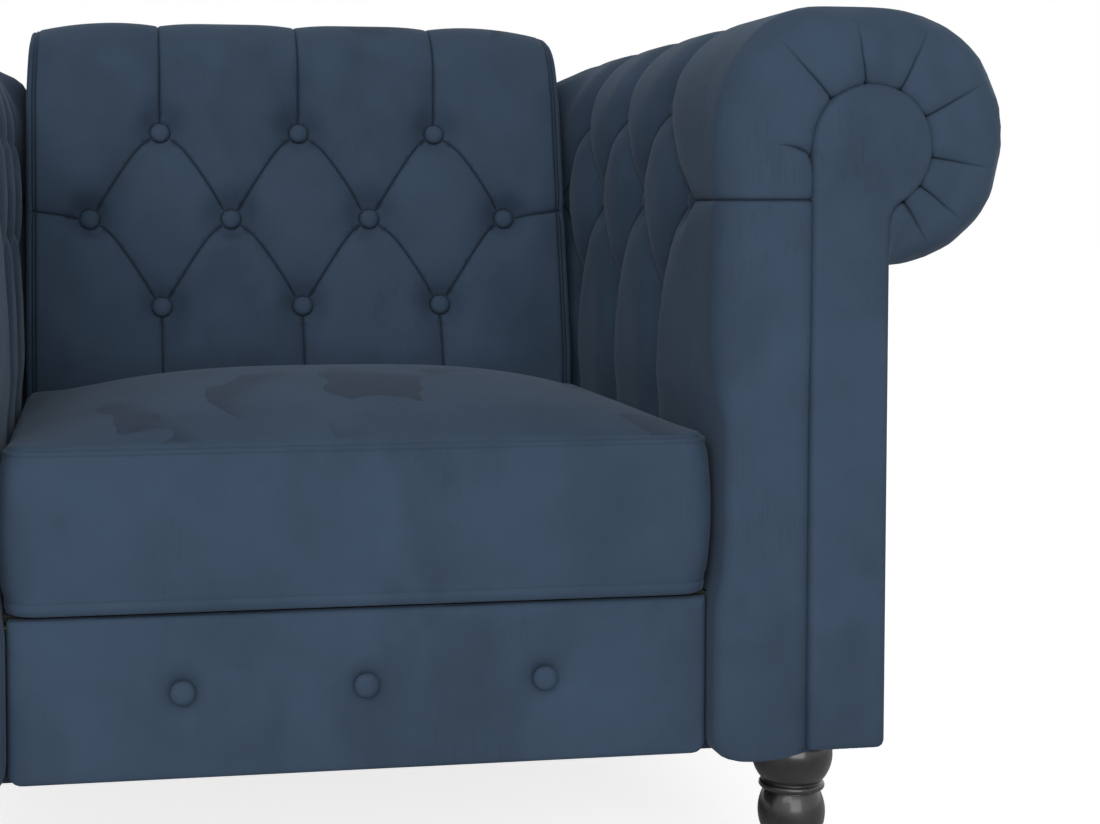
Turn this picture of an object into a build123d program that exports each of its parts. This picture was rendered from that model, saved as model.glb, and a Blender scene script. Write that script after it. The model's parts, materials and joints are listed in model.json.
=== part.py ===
"""Two-armed club chair with a button-tufted back, rolled tufted arms and a loose box cushion.

Millimetres, +Z up, +X to the sitter's left seen from the front, +Y to the rear.
The origin is on the floor under the middle of the chair.
"""

import os
from math import asin, cos, hypot, radians, sin, tan

from build123d import *

os.makedirs("parts", exist_ok=True)

# Overall sizes
seat_width = 575.0  # between the arms, along the front rail
arm_length = 818.0  # front facing to outer back
leg_height = 140.0  # floor to underside
arm_top = 769.0  # floor to the crest of the arm roll
back_top = 803.0  # floor to the crest of the back
rail_setback = 24.0  # front rail behind the arm facings
fit = 0.25  # gap between a soft cover and what it covers
slide_gap = 0.4  # gap under and around what moves

# Arms
arm_width = 150.0  # rail end to outer panel
facing_width = 68.0
facing_t = 18.0
facing_proud = 4.0  # facing in front of the wrapped pad
facing_round = 5.0
head_r = 52.5  # keyhole head of the facing
head_drop = 10.0  # head centre under the roll centre
neck_round = 22.0
roll_r = 109.0
roll_inset = 9.5  # roll centre inside the outer panel
roll_end = 80.0  # degrees past level where the roll tucks in under itself
turn_drop = 110.0  # where the inner face starts to turn over, under the crest
roll_pad = 33.0  # padding over the roll's former
low_gap = 5.0  # arm face beside the cushion, out from the rail end
foot_gap = 0.9  # and beside the front rail
foot_round = 16.0
tuck_over = 5.6  # the puffs come out this far over the cushion's seam
tuck_rise = 34.0
arm_panel_t = 3.5

# Tufting
tuft_pitch = 149.2
tuft_depth = 27.0  # crest of a puff over its crease
puff_overhang = 14.5  # crest of the arm puffs inside the rail end
pad_back = 14.0  # padding behind a crease
roll_pleat = 5.0  # depth of the pleats over the roll
top_pleat = 5.0  # depth of the pleats over the back
nose_in = 18.0  # how far an arm's ends draw in
nose_len = 18.0
gusset_round = 11.0  # how far the back draws in at its gussets
crease_flare = 40.0
first_column = 192.0  # first arm button column behind the rail front
arm_columns = 4
arm_diamonds = 3
arm_row2_drop = 164.0  # middle arm buttons under the crest of the roll
arm_row_pitch = 89.0
button_r = 10.0
button_h = 8.0
button_sink = 2.0
front_pleats = 7  # pleats round the front of the roll
pleat_from = -58.0
pleat_to = 132.0
pleat_w = 9.0
pleat_d = 5.0

# Back
back_gap = 3.0  # back side inside the rail end
back_rake = 12.4
row2_y = 540.0  # middle button row behind the rail front
row2_drop = 218.4  # and under the crest of the back
back_row_pitch = 94.8
back_front = 482.0  # foot of the back behind the rail front
back_foot = 300.0  # floor to the foot of the back pad
top_round = 66.0
knee_round = 60.0
top_fall = 8.0  # top of the back falls this much to the rear
rear_round = 30.0
gusset_t = 7.0
lip_drop = 63.0  # hem of the rear lip under the crest of the back
top_pad = 40.0  # padding over the back's frame
gusset_depth = 95.0

# Cushion
cushion_overhang = 6.0
cushion_width = 576.0
cushion_depth = 480.0
cushion_box = 131.0  # height between its seams
cushion_crown = 44.0
cushion_bulge = 3.0
cushion_corner = 26.0
cover_t = 10.0
zip_length = 420.0
zip_width = 14.0
zip_t = 1.6
slider_size = (9.0, 3.2, 12.0)

# Frame
plate_t = 2.0
rail_h = 124.0
rail_t = 22.0
board_t = 18.0
outer_back_t = 14.0
liner_t = 4.0
seat_rear_y = 600.0  # seat rear rail behind the rail front
bar_h = 45.0
stretcher_z = 300.0
former_t = 5.0
strap_w = 60.0
strap_t = 2.0
long_straps = 5
cross_straps = 4
deck_t = 5.0
dust_t = 1.0
rail_cover_h = 132.0
slat_t = 30.0
slat_z = (300.0, 540.0)

# Legs and fasteners
leg_inset = 90.5  # leg axis out from the rail end
leg_setback = 64.0  # leg axis in from the front and rear faces
leg_top_r = 35.0
cup_h = 16.0
cove_h = 21.5
cove_r = 26.5
ring_h = 7.0
ring_r = 28.0
ball_h = 40.0
ball_r = 29.0
waist_r = 23.5
foot_r = 15.0
glide_h = 4.0
glide_r = 12.0
block_len = 80.0
block_h = 40.0
plate_size = 64.0
bolt_r = 4.0
bolt_clear = 0.1
leg_bolt_down = 42.0
leg_bolt_up = 36.0
frame_bolt_in = 40.0  # depth of a frame bolt in the rail's end
frame_bolt_z = 222.0
bolt_head_r = 6.5
bolt_head_h = 5.0
washer_r = 9.0
washer_t = 1.5

# Places that several pieces share
half = seat_width / 2
y_front = -arm_length / 2
y_rear = arm_length / 2
y_rail = y_front + rail_setback
y_board = y_front + facing_t
y_frame = y_board + board_t
y_skin = y_rear - outer_back_t
y_rear_board = y_skin - board_t
y_pad_front = y_front + facing_proud
y_pad_rear = y_rear - facing_proud
z_frame = leg_height + plate_t
z_rail = z_frame + rail_h
z_side = z_rail + strap_t
z_deck = z_side + strap_t + deck_t
z_cushion = z_deck + slide_gap
z_seam = z_cushion + cushion_box
z_tuck = z_seam + tuck_over
x_crest = half - puff_overhang
x_pleat = x_crest + tuft_depth
x_liner = x_pleat + pad_back
x_side = x_liner + liner_t
x_low = half + low_gap
x_foot = half + foot_gap
x_outer = half + arm_width
x_board = x_outer - arm_panel_t
x_seam = x_outer - facing_width
x_roll = x_outer - roll_inset
x_head = x_seam + head_r
x_core = x_outer - facing_width / 2
z_roll = arm_top - roll_r
z_head = z_roll - head_drop
z_turn = arm_top - turn_drop
arm_row2 = arm_top - arm_row2_drop
row2_z = back_top - row2_drop
lip_z = back_top - lip_drop
core_r = roll_r - roll_pad
core_turn = turn_drop - roll_pad
z_roll_end = z_roll - core_r * sin(radians(roll_end))
columns = [y_rail + first_column + tuft_pitch * k for k in range(arm_columns)]
back_half = half - back_gap
back_y = y_rail + row2_y
slope = tan(radians(back_rake))
back_plane = Plane(
    origin=(0, back_y, row2_z),
    x_dir=(1, 0, 0),
    z_dir=(0, -cos(radians(back_rake)), sin(radians(back_rake))),
)


def save(piece, name):
    """Label a finished piece and write it out."""
    piece.part.label = name
    export_step(piece.part, f"parts/{name}.step")


def save_pair(piece, name):
    """Write a right-hand piece and its mirrored left-hand twin."""
    save(piece, f"{name}_right")
    with BuildPart() as twin:
        mirror(piece.part, about=Plane.YZ)
    save(twin, f"{name}_left")


def block(x, y, z):
    """Box between two limits along each axis."""
    with BuildPart() as body:
        with Locations(((x[0] + x[1]) / 2, (y[0] + y[1]) / 2, (z[0] + z[1]) / 2)):
            Box(x[1] - x[0], y[1] - y[0], z[1] - z[0])
    return body


def at_y(y):
    """Upright plane across the chair, local axes X and Z."""
    return Plane.XZ.offset(-y)


def raked_y(z, behind=0.0):
    """Y of the back's crease plane at a height, moved back square to the plane."""
    return back_y + (z - row2_z) * slope + behind / cos(radians(back_rake))


# Foot of the back, upright behind the cushion until it meets the rake
y_foot = y_rail + back_front
z_knee = row2_z + (y_foot - raked_y(row2_z, -tuft_depth)) / slope


# Outline of the arm's boards, and of the hollow that the arm pad covers
def arm_core(y, gap, z_low):
    turn = core_turn - gap
    head = core_r - gap
    left = x_liner + gap
    with BuildSketch(at_y(y)) as core:
        with BuildLine():
            Line((left, z_low), (left, z_turn))
            CenterArc((left + turn, z_turn), turn, 180, -90)
            Line((left + turn, z_turn + turn), (x_roll, z_turn + turn))
            CenterArc((x_roll, z_roll), head, 90, -90)
            tail = CenterArc((x_roll, z_roll), head, 0, -roll_end)
            Line(tail @ 1, (x_board, (tail @ 1).Y))
            Line((x_board, (tail @ 1).Y), (x_board, z_low))
            Line((x_board, z_low), (left, z_low))
        make_face()
    return core.sketch


# Section of the arm pad: tuft is 0 on a crest and 1 in a pleat, edge draws the whole outline in
def arm_section(y, tuft, edge=0.0):
    face = x_crest + tuft * tuft_depth + edge
    low = x_low + edge * 0.6
    foot = x_foot + edge * 0.6
    bend = (foot + foot_round, leg_height + foot_round)
    drop = tuft * roll_pleat + edge
    turn = turn_drop - drop
    with BuildSketch(at_y(y)) as section:
        with BuildLine():
            Line((x_core, leg_height), (bend[0], leg_height))
            CenterArc(bend, foot_round, 270, -90)
            Line((foot, bend[1]), (foot, z_rail))
            Line((foot, z_rail), (low, z_rail + low_gap))
            Line((low, z_rail + low_gap), (low, z_tuck))
            Line((low, z_tuck), (face, z_tuck + tuck_rise))
            Line((face, z_tuck + tuck_rise), (face, z_turn))
            CenterArc((face + turn, z_turn), turn, 180, -90)
            Line((face + turn, z_turn + turn), (x_roll, z_turn + turn))
            CenterArc((x_roll, z_roll), roll_r - drop, 90, -90)
            tail = CenterArc((x_roll, z_roll), roll_r - drop, 0, -roll_end)
            Line(tail @ 1, (x_roll, z_roll))
            Line((x_roll, z_roll), (x_core, z_roll))
            Line((x_core, z_roll), (x_core, leg_height))
        make_face()
    return section.sketch


# Section of the back pad across the chair at one X
def back_section(x, tuft, edge):
    depth = tuft_depth * (1 - tuft)
    top = back_top - tuft * top_pleat - edge
    rear = y_pad_rear - edge
    with BuildSketch(Plane.YZ.offset(x)) as section:
        with BuildLine():
            outline = FilletPolyline(
                (y_foot + tuft * pad_back / 3 + edge, back_foot),
                (raked_y(z_knee, -depth) + edge, z_knee),
                (raked_y(top, -depth) + edge, top),
                (rear, top - top_fall),
                (rear, lip_z),
                radius=[knee_round, top_round, rear_round],
            )
            Polyline(
                outline @ 1,
                (raked_y(lip_z, gusset_depth), lip_z),
                (raked_y(back_foot, gusset_depth), back_foot),
                outline @ 0,
            )
        make_face()
    return section.sketch


# Diamond of the tufting, grown or shrunk square to its sides, at a height over the crease plane
def diamond(plane, height, grow, half_w, half_h):
    k = 1 + grow * hypot(half_w, half_h) / (half_w * half_h)
    with BuildSketch(plane.offset(height)) as shape:
        with BuildLine():
            Polyline(
                (half_w * k, 0), (0, half_h * k), (-half_w * k, 0), (0, -half_h * k), close=True
            )
        make_face()
    return shape.sketch


def diamond_pocket(plane, half_w, half_h):
    """Sections of the flared pocket that a diamond puff lies in."""
    return [
        diamond(plane, 0, 0, half_w, half_h),
        diamond(plane, tuft_depth * 0.5, crease_flare * 0.22, half_w, half_h),
        diamond(plane, tuft_depth * 1.3, crease_flare, half_w, half_h),
    ]


def diamond_puff(plane, half_w, half_h):
    """Sections of a diamond puff, from its crease to its crest."""
    inner = half_w * half_h / hypot(half_w, half_h)
    return [
        diamond(plane, -pad_back * 0.7, -0.4, half_w, half_h),
        diamond(plane, tuft_depth * 0.45, -inner * 0.16, half_w, half_h),
        diamond(plane, tuft_depth * 0.85, -inner * 0.47, half_w, half_h),
        diamond(plane, tuft_depth, -inner * 0.77, half_w, half_h),
    ]


# Flared crease across a puff, drawn square to its run
def crease_profile(plane, reach):
    deep = tuft_depth * 0.15
    high = tuft_depth * 1.3
    with BuildSketch(plane) as crease:
        with BuildLine():
            ThreePointArc((-reach, high), (-reach * 0.3, tuft_depth * 0.55), (0, deep))
            ThreePointArc((0, deep), (reach * 0.3, tuft_depth * 0.55), (reach, high))
            Line((reach, high), (-reach, high))
        make_face()
    return crease.sketch


# Keyhole facing outline on the front of an arm, grown to make room for it
def keyhole(y, z_low, grow=0.0):
    with BuildSketch(at_y(y)) as key:
        with Locations(((x_seam + x_outer) / 2, (z_low + z_head) / 2)):
            Rectangle(facing_width, z_head - z_low)
        with Locations((x_head, z_head)):
            Circle(head_r)
        on_edge = key.vertices().filter_by(lambda v: abs(v.X - x_outer) < 0.01).sort_by(Axis.Y)
        fillet(on_edge[-1], neck_round)
        fillet(on_edge[0], neck_round / 2)
        if grow:
            offset(amount=grow)
    return key.sketch


# Outer back outline: full width under the rolls, round ears on them, and the back between the arms
def rear_outline(y, z_low, grow=0.0):
    with BuildSketch(at_y(y)) as rear:
        with Locations((0, (z_low + z_head) / 2)):
            Rectangle(2 * x_outer, z_head - z_low)
        with Locations((x_head, z_head), (-x_head, z_head)):
            Circle(head_r)
        with Locations((0, (z_low + lip_z - fit) / 2)):
            Rectangle(2 * back_half, lip_z - fit - z_low)
        if grow:
            offset(amount=grow)
    return rear.sketch


# One covered button, flat on its back at the plane of each place
button_rim = button_h * 0.3
dome_r = (button_r**2 + (button_h - button_rim) ** 2) / (2 * (button_h - button_rim))
with BuildPart() as button:
    Cylinder(button_r, button_h, align=(Align.CENTER, Align.CENTER, Align.MIN))
    with Locations((0, 0, button_h - dome_r)):
        Sphere(dome_r, mode=Mode.INTERSECT)


def button_set(places):
    """A button on each of the given planes."""
    with BuildPart() as buttons:
        with Locations(*places):
            add(button.part)
    return buttons


def seat_cut(deep):
    """Round seat that a button sinks into, for subtracting."""
    Cylinder(
        button_r + fit, deep, align=(Align.CENTER, Align.CENTER, Align.MIN), mode=Mode.SUBTRACT
    )


# Button places: three rows on the back, three on each arm
half_pitch = tuft_pitch / 2
back_points = [(half_pitch * k, 0) for k in (-3, -1, 1, 3)]
back_points += [(tuft_pitch * k, s * back_row_pitch) for k in (-1, 0, 1) for s in (-1, 1)]
back_places = [
    Plane(back_plane.from_local_coords((x, v, -button_sink)), back_plane.x_dir, back_plane.z_dir)
    for x, v in back_points
]
arm_points = [(y, arm_row2 + s * arm_row_pitch) for y in columns[:arm_diamonds] for s in (-1, 1)]
arm_points += [(y - half_pitch, arm_row2) for y in columns[:arm_diamonds]]


def arm_place(y, z):
    """Plane of an arm button, on the crease and turned with it where the arm rolls over."""
    turn_r = turn_drop - roll_pleat
    turn = asin(max(z - z_turn, 0) / turn_r)
    out = Vector(-cos(turn), 0, sin(turn))
    on_crease = Vector(x_pleat + turn_r, y, z - turn_r * sin(turn)) + out * (turn_r - button_sink)
    return Plane(on_crease, x_dir=(0, 1, 0), z_dir=out)


arm_places = [arm_place(y, z) for y, z in arm_points]
arm_diamond_planes = [
    Plane((x_pleat, y, arm_row2), x_dir=(0, 1, 0), z_dir=(-1, 0, 0)) for y in columns[:arm_diamonds]
]

# Arm pad: scalloped bands between the pleats, diamonds sewn into the inner face, hollow behind
with BuildPart() as arm_pad:
    for end, inward, pleat in ((y_pad_front, 1, columns[0]), (y_pad_rear, -1, columns[-1])):
        crest = end + (pleat - end) * 0.4
        rim = end + inward * nose_len
        shallow = ((rim - crest) / (pleat - crest)) ** 2
        loft(
            [
                arm_section(end, shallow, nose_in),
                arm_section(end + (rim - end) * 0.3, shallow, nose_in * 0.3),
                arm_section(rim, shallow),
            ]
        )
        loft([arm_section(rim, shallow), arm_section(crest, 0), arm_section(pleat, 1)])
    for near, far in zip(columns, columns[1:]):
        loft([arm_section(near, 1), arm_section((near + far) / 2, 0), arm_section(far, 1)])
    extrude(
        arm_core(y_board, 0, leg_height - 10),
        amount=y_skin - y_board,
        dir=(0, 1, 0),
        mode=Mode.SUBTRACT,
    )
    for place in arm_diamond_planes:
        loft(diamond_pocket(place, half_pitch, arm_row_pitch), mode=Mode.SUBTRACT)
    for place in arm_diamond_planes:
        loft(diamond_puff(place, half_pitch, arm_row_pitch))
    # Level crease from the front button round to the facing
    extrude(
        crease_profile(
            Plane((x_pleat, columns[0] - half_pitch + button_sink, arm_row2), (0, 0, 1), (0, -1, 0)),
            crease_flare * 0.4,
        ),
        amount=first_column,
        mode=Mode.SUBTRACT,
    )
    with Locations(*arm_places):
        seat_cut(tuft_depth * 2)
    # Pleats gathered round the facing's head
    for k in range(front_pleats):
        turn = radians(pleat_from + k * (pleat_to - pleat_from) / (front_pleats - 1))
        ray = Vector(cos(turn), 0, sin(turn))
        start = Vector(x_head, y_pad_front, z_head) + ray * head_r * 0.9
        with BuildSketch(Plane(start, x_dir=ray.cross(Vector(0, 1, 0)), z_dir=ray)):
            with BuildLine():
                Polyline((-pleat_w / 2, -1), (0, pleat_d), (pleat_w / 2, -1), close=True)
            make_face()
        extrude(amount=roll_r - head_r * 0.6, mode=Mode.SUBTRACT)
    # Room for the facing, the outer back, the seat's frame and the back
    extrude(
        keyhole(y_front - 1, leg_height - 10, fit),
        amount=facing_t + 1,
        dir=(0, 1, 0),
        mode=Mode.SUBTRACT,
    )
    extrude(
        rear_outline(y_skin, leg_height - 10, fit),
        amount=outer_back_t + 1,
        dir=(0, 1, 0),
        mode=Mode.SUBTRACT,
    )
    add(
        block((half - 40, x_liner + 1), (y_frame - 2, y_rear), (leg_height - 20, z_deck)).part,
        mode=Mode.SUBTRACT,
    )
    with BuildSketch(Plane.YZ.offset(x_crest - 60)):
        with BuildLine():
            Polyline(
                (y_foot - slide_gap, z_deck - 10),
                (y_foot - slide_gap, z_knee),
                (raked_y(back_top + 50, -tuft_depth) - slide_gap, back_top + 50),
                (y_rear + 10, back_top + 50),
                (y_rear + 10, z_deck - 10),
                close=True,
            )
        make_face()
    extrude(amount=back_half + fit - x_crest + 60, dir=(1, 0, 0), mode=Mode.SUBTRACT)
save_pair(arm_pad, "arm_pad")
save_pair(button_set(arm_places), "arm_buttons")

# Arm facing: padded keyhole with a rounded rim
with BuildPart() as arm_facing:
    extrude(keyhole(y_front, leg_height), amount=facing_t, dir=(0, 1, 0))
    fillet(arm_facing.faces().sort_by(Axis.Y)[0].edges(), facing_round)
save_pair(arm_facing, "arm_facing")

# Arm boards at the front and the rear
with BuildPart() as arm_front_board:
    extrude(arm_core(y_board, fit, z_frame), amount=board_t, dir=(0, 1, 0))
save_pair(arm_front_board, "arm_front_board")

with BuildPart() as arm_rear_board:
    extrude(arm_core(y_rear_board, fit, z_frame), amount=board_t, dir=(0, 1, 0))
save_pair(arm_rear_board, "arm_rear_board")

# Former that carries the padding over the roll
with BuildPart() as roll_former:
    with BuildSketch(at_y(y_frame)):
        turn_x = x_liner + core_turn
        turn_r = core_turn - fit
        over_r = core_r - fit
        with BuildLine():
            CenterArc((turn_x, z_turn), turn_r, 180, -90)
            Line((turn_x, z_turn + turn_r), (x_roll, z_turn + turn_r))
            over = CenterArc((x_roll, z_roll), over_r, 90, -90 - roll_end)
            under = CenterArc((x_roll, z_roll), over_r - former_t, -roll_end, 90 + roll_end)
            Line(over @ 1, under @ 0)
            Line(under @ 1, (turn_x, z_turn + turn_r - former_t))
            CenterArc((turn_x, z_turn), turn_r - former_t, 90, 90)
            Line((turn_x - turn_r + former_t, z_turn), (turn_x - turn_r, z_turn))
        make_face()
    extrude(amount=y_rear_board - y_frame, dir=(0, 1, 0))
save_pair(roll_former, "roll_former")

# Arm liner and the bars behind it
arm_span = (y_frame, y_rear_board)
save_pair(block((x_liner + fit, x_side), arm_span, (z_deck + 5, z_turn - fit)), "arm_liner")
save_pair(
    block((x_side, x_side + rail_t), arm_span, (stretcher_z, stretcher_z + bar_h)), "arm_stretcher"
)
save_pair(block((x_side, x_side + rail_t), arm_span, (z_turn - bar_h, z_turn)), "arm_top_rail")

# Outer arm panel, up to where the roll tucks in
save_pair(
    block((x_board, x_outer), (y_board, y_skin), (z_frame, z_roll_end - 3)), "arm_outer_panel"
)

# Back pad: scalloped bands, diamonds, buttons' seats, hollow for the frame
with BuildPart() as back_pad:
    for side in (-1, 1):
        rim = back_half - gusset_round
        shallow = ((rim - 3 * half_pitch) / half_pitch) ** 2
        loft(
            [
                back_section(side * back_half, shallow, gusset_round),
                back_section(side * (back_half - gusset_round * 0.3), shallow, gusset_round * 0.3),
                back_section(side * rim, shallow, 0),
            ]
        )
        loft(
            [
                back_section(side * rim, shallow, 0),
                back_section(side * 3 * half_pitch, 0, 0),
                back_section(side * tuft_pitch, 1, 0),
            ]
        )
        loft(
            [
                back_section(side * tuft_pitch, 1, 0),
                back_section(side * half_pitch, 0, 0),
                back_section(0, 1, 0),
            ]
        )
    with BuildSketch(Plane.YZ.offset(gusset_t - back_half)):
        with BuildLine():
            Polyline(
                (raked_y(back_foot - 20, pad_back), back_foot - 20),
                (raked_y(back_top - top_pad, pad_back), back_top - top_pad),
                (y_skin, back_top - top_pad),
                (y_skin, back_foot - 20),
                close=True,
            )
        make_face()
    extrude(amount=2 * (back_half - gusset_t), dir=(1, 0, 0), mode=Mode.SUBTRACT)
    for k in (-1, 0, 1):
        place = Plane(
            back_plane.from_local_coords((k * tuft_pitch, 0, 0)), back_plane.x_dir, back_plane.z_dir
        )
        loft(diamond_pocket(place, half_pitch, back_row_pitch), mode=Mode.SUBTRACT)
    for k in (-1, 0, 1):
        place = Plane(
            back_plane.from_local_coords((k * tuft_pitch, 0, 0)), back_plane.x_dir, back_plane.z_dir
        )
        loft(diamond_puff(place, half_pitch, back_row_pitch))
    # Level crease from each end button to the gusset
    for side in (-1, 1):
        place = Plane(
            back_plane.from_local_coords((side * (3 * half_pitch - button_sink), 0, 0)),
            back_plane.y_dir * -side,
            (side, 0, 0),
        )
        extrude(
            crease_profile(place, crease_flare * 0.6),
            amount=back_half - half_pitch,
            mode=Mode.SUBTRACT,
        )
    with Locations(*back_places):
        seat_cut(tuft_depth * 2)
save(back_pad, "back_pad")
save(button_set(back_places), "back_buttons")

# Outer back panel
with BuildPart() as outer_back:
    extrude(rear_outline(y_skin, leg_height), amount=outer_back_t, dir=(0, 1, 0))
    fillet(outer_back.faces().sort_by(Axis.Y)[-1].edges(), facing_round)
save(outer_back, "outer_back")


# Bar of the back frame with its front on the rake
def raked_bar(x, z):
    with BuildPart() as bar:
        with BuildSketch(Plane.YZ.offset(x[0])):
            with BuildLine():
                Polyline(
                    (raked_y(z[0], pad_back + liner_t), z[0]),
                    (raked_y(z[1], pad_back + liner_t), z[1]),
                    (raked_y(z[1], pad_back + liner_t + slat_t), z[1]),
                    (raked_y(z[0], pad_back + liner_t + slat_t), z[0]),
                    close=True,
                )
            make_face()
        extrude(amount=x[1] - x[0], dir=(1, 0, 0))
    return bar


x_panel = back_half - gusset_t - fit
z_back_frame = back_top - top_pad - fit
z_panel = z_deck + deck_t
inner_span = (board_t - x_panel, x_panel - board_t)
save(raked_bar(inner_span, (z_back_frame - bar_h, z_back_frame)), "back_top_rail")
with BuildPart() as back_slats:
    for z in slat_z:
        add(raked_bar(inner_span, (z, z + bar_h)).part)
save(back_slats, "back_slats")

# Side panel of the back: stands between the two rear rails and carries the outer back
with BuildPart() as back_side:
    with BuildSketch(Plane.YZ.offset(x_panel - board_t)):
        with BuildLine():
            Polyline(
                (raked_y(z_panel, pad_back + liner_t), z_panel),
                (raked_y(z_back_frame, pad_back + liner_t), z_back_frame),
                (y_skin, z_back_frame),
                (y_skin, z_rail),
                (y_rear_board - rail_t, z_rail),
                (y_rear_board - rail_t, z_frame),
                (y_rail + seat_rear_y + rail_t, z_frame),
                (y_rail + seat_rear_y + rail_t, z_panel),
                close=True,
            )
        make_face()
    extrude(amount=board_t, dir=(1, 0, 0))
save_pair(back_side, "back_side")

# Back liner between the tufted pad and the frame
with BuildPart() as back_liner:
    with BuildSketch(Plane.YZ.offset(-x_panel)):
        with BuildLine():
            Polyline(
                (raked_y(back_foot - 15, pad_back + fit), back_foot - 15),
                (raked_y(z_back_frame, pad_back + fit), z_back_frame),
                (raked_y(z_back_frame, pad_back + liner_t), z_back_frame),
                (raked_y(back_foot - 15, pad_back + liner_t), back_foot - 15),
                close=True,
            )
        make_face()
    extrude(amount=2 * x_panel, dir=(1, 0, 0))
save(back_liner, "back_liner")

# Rails of the seat frame, drilled for the frame bolts
rail_y = {
    "front_rail": y_frame,
    "seat_rear_rail": y_rail + seat_rear_y,
    "back_bottom_rail": y_rear_board - rail_t,
}
bolt_ys = [y + rail_t / 2 for y in rail_y.values()]
for name, y in rail_y.items():
    with BuildPart() as rail:
        add(block((-x_side, x_side), (y, y + rail_t), (z_frame, z_rail)).part)
        for side in (-1, 1):
            with Locations(Plane((side * x_side, y + rail_t / 2, frame_bolt_z), z_dir=(-side, 0, 0))):
                Cylinder(
                    bolt_r + bolt_clear,
                    frame_bolt_in + 2,
                    align=(Align.CENTER, Align.CENTER, Align.MIN),
                    mode=Mode.SUBTRACT,
                )
    save(rail, name)

with BuildPart() as side_rail:
    add(block((x_side, x_side + rail_t), arm_span, (z_frame, z_side)).part)
    with Locations(*[Plane((x_side, y, frame_bolt_z), z_dir=(1, 0, 0)) for y in bolt_ys]):
        Cylinder(
            bolt_r + bolt_clear,
            rail_t,
            align=(Align.CENTER, Align.CENTER, Align.MIN),
            mode=Mode.SUBTRACT,
        )
save_pair(side_rail, "side_rail")

# Frame bolts and washers, through the side rails into the ends of the rails
bolt_places = [
    Plane((side * (x_side + rail_t), y, frame_bolt_z), z_dir=(side, 0, 0))
    for side in (-1, 1)
    for y in bolt_ys
]
with BuildPart() as frame_bolts:
    with BuildSketch(*[place.offset(washer_t) for place in bolt_places]):
        RegularPolygon(bolt_head_r, 6)
    extrude(amount=bolt_head_h)
    with BuildSketch(*[place.offset(washer_t) for place in bolt_places]):
        Circle(bolt_r)
    extrude(amount=-(washer_t + rail_t + frame_bolt_in))
save(frame_bolts, "frame_bolts")

with BuildPart() as frame_washers:
    with BuildSketch(*bolt_places):
        Circle(washer_r)
        Circle(bolt_r + bolt_clear, mode=Mode.SUBTRACT)
    extrude(amount=washer_t)
save(frame_washers, "frame_washers")

# Front rail cover with its button seats
rail_points = [(tuft_pitch * k, leg_height + rail_cover_h * 0.53) for k in (-1, 0, 1)]
rail_places = [
    Plane((x, y_rail + button_h - button_sink, z), x_dir=(1, 0, 0), z_dir=(0, -1, 0))
    for x, z in rail_points
]
with BuildPart() as rail_cover:
    with BuildSketch(at_y(y_rail)) as rail_face:
        with Locations((0, leg_height + rail_cover_h / 2)):
            Rectangle(seat_width - 2 * fit, rail_cover_h)
        fillet(rail_face.vertices().group_by(Axis.Y)[0], neck_round / 2)
    extrude(amount=y_frame - y_rail, dir=(0, 1, 0))
    fillet(rail_cover.faces().sort_by(Axis.Y)[0].edges(), facing_round)
    with Locations(*rail_places):
        seat_cut(button_h * 2)
    with Locations(*[place.offset(button_h) for place in rail_places]):
        Cone(
            button_r + fit,
            button_r * 2.6,
            button_h,
            align=(Align.CENTER, Align.CENTER, Align.CENTER),
            mode=Mode.SUBTRACT,
        )
save(rail_cover, "rail_cover")
save(button_set(rail_places), "rail_buttons")

# Webbing and deck
seat_span = (y_frame, y_rail + seat_rear_y + rail_t)
with BuildPart() as long_webbing:
    for k in range(long_straps):
        x = (k - (long_straps - 1) / 2) * seat_width / long_straps
        add(block((x - strap_w / 2, x + strap_w / 2), seat_span, (z_rail, z_side)).part)
save(long_webbing, "long_webbing")

with BuildPart() as cross_webbing:
    for k in range(cross_straps):
        y = seat_span[0] + (k + 0.5) * (seat_span[1] - seat_span[0]) / cross_straps
        reach = x_side + rail_t
        add(block((-reach, reach), (y - strap_w / 2, y + strap_w / 2), (z_side, z_side + strap_t)).part)
save(cross_webbing, "cross_webbing")

save(block((-x_low, x_low), seat_span, (z_deck - deck_t, z_deck)), "seat_deck")

# Loose box cushion: boxing that swells between its seams, then the crown
y_cushion = y_rail - cushion_overhang + cushion_depth / 2


def cushion_section(z, grow):
    with BuildSketch(Plane((0, y_cushion, z))) as section:
        RectangleRounded(
            cushion_width + 2 * grow,
            cushion_depth + 2 * grow,
            max(cushion_corner + grow, cushion_corner / 2),
        )
    return section.sketch


cushion_rear = y_cushion + cushion_depth / 2
zip_z = z_cushion + cushion_box / 2
zip_floor = cushion_rear - 2 * slide_gap - zip_t - slider_size[1]
with BuildPart() as cushion_core:
    with Locations((0, y_cushion, z_cushion + cushion_box / 2)):
        Box(
            cushion_width - 2 * cover_t,
            cushion_depth - 2 * cover_t,
            cushion_box - 2 * cover_t,
        )
    fillet(cushion_core.edges().filter_by(Axis.Z), cushion_corner)
save(cushion_core, "cushion_core")

with BuildPart() as cushion_cover:
    loft(
        [
            cushion_section(z_cushion, -cushion_bulge),
            cushion_section(z_cushion + cushion_box / 2, cushion_bulge),
            cushion_section(z_seam, 0),
        ]
    )
    loft(
        [
            cushion_section(z_seam, 0),
            cushion_section(z_seam + cushion_crown * 0.55, -cushion_width * 0.06),
            cushion_section(z_seam + cushion_crown * 0.88, -cushion_width * 0.17),
            cushion_section(z_seam + cushion_crown, -cushion_width * 0.3),
        ]
    )
    add(cushion_core.part, mode=Mode.SUBTRACT)
    add(
        block(
            (-zip_length / 2 - 2, zip_length / 2 + 2),
            (zip_floor, cushion_rear + 10),
            (zip_z - zip_width / 2 - 1, zip_z + zip_width / 2 + 1),
        ).part,
        mode=Mode.SUBTRACT,
    )
save(cushion_cover, "cushion_cover")

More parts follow.
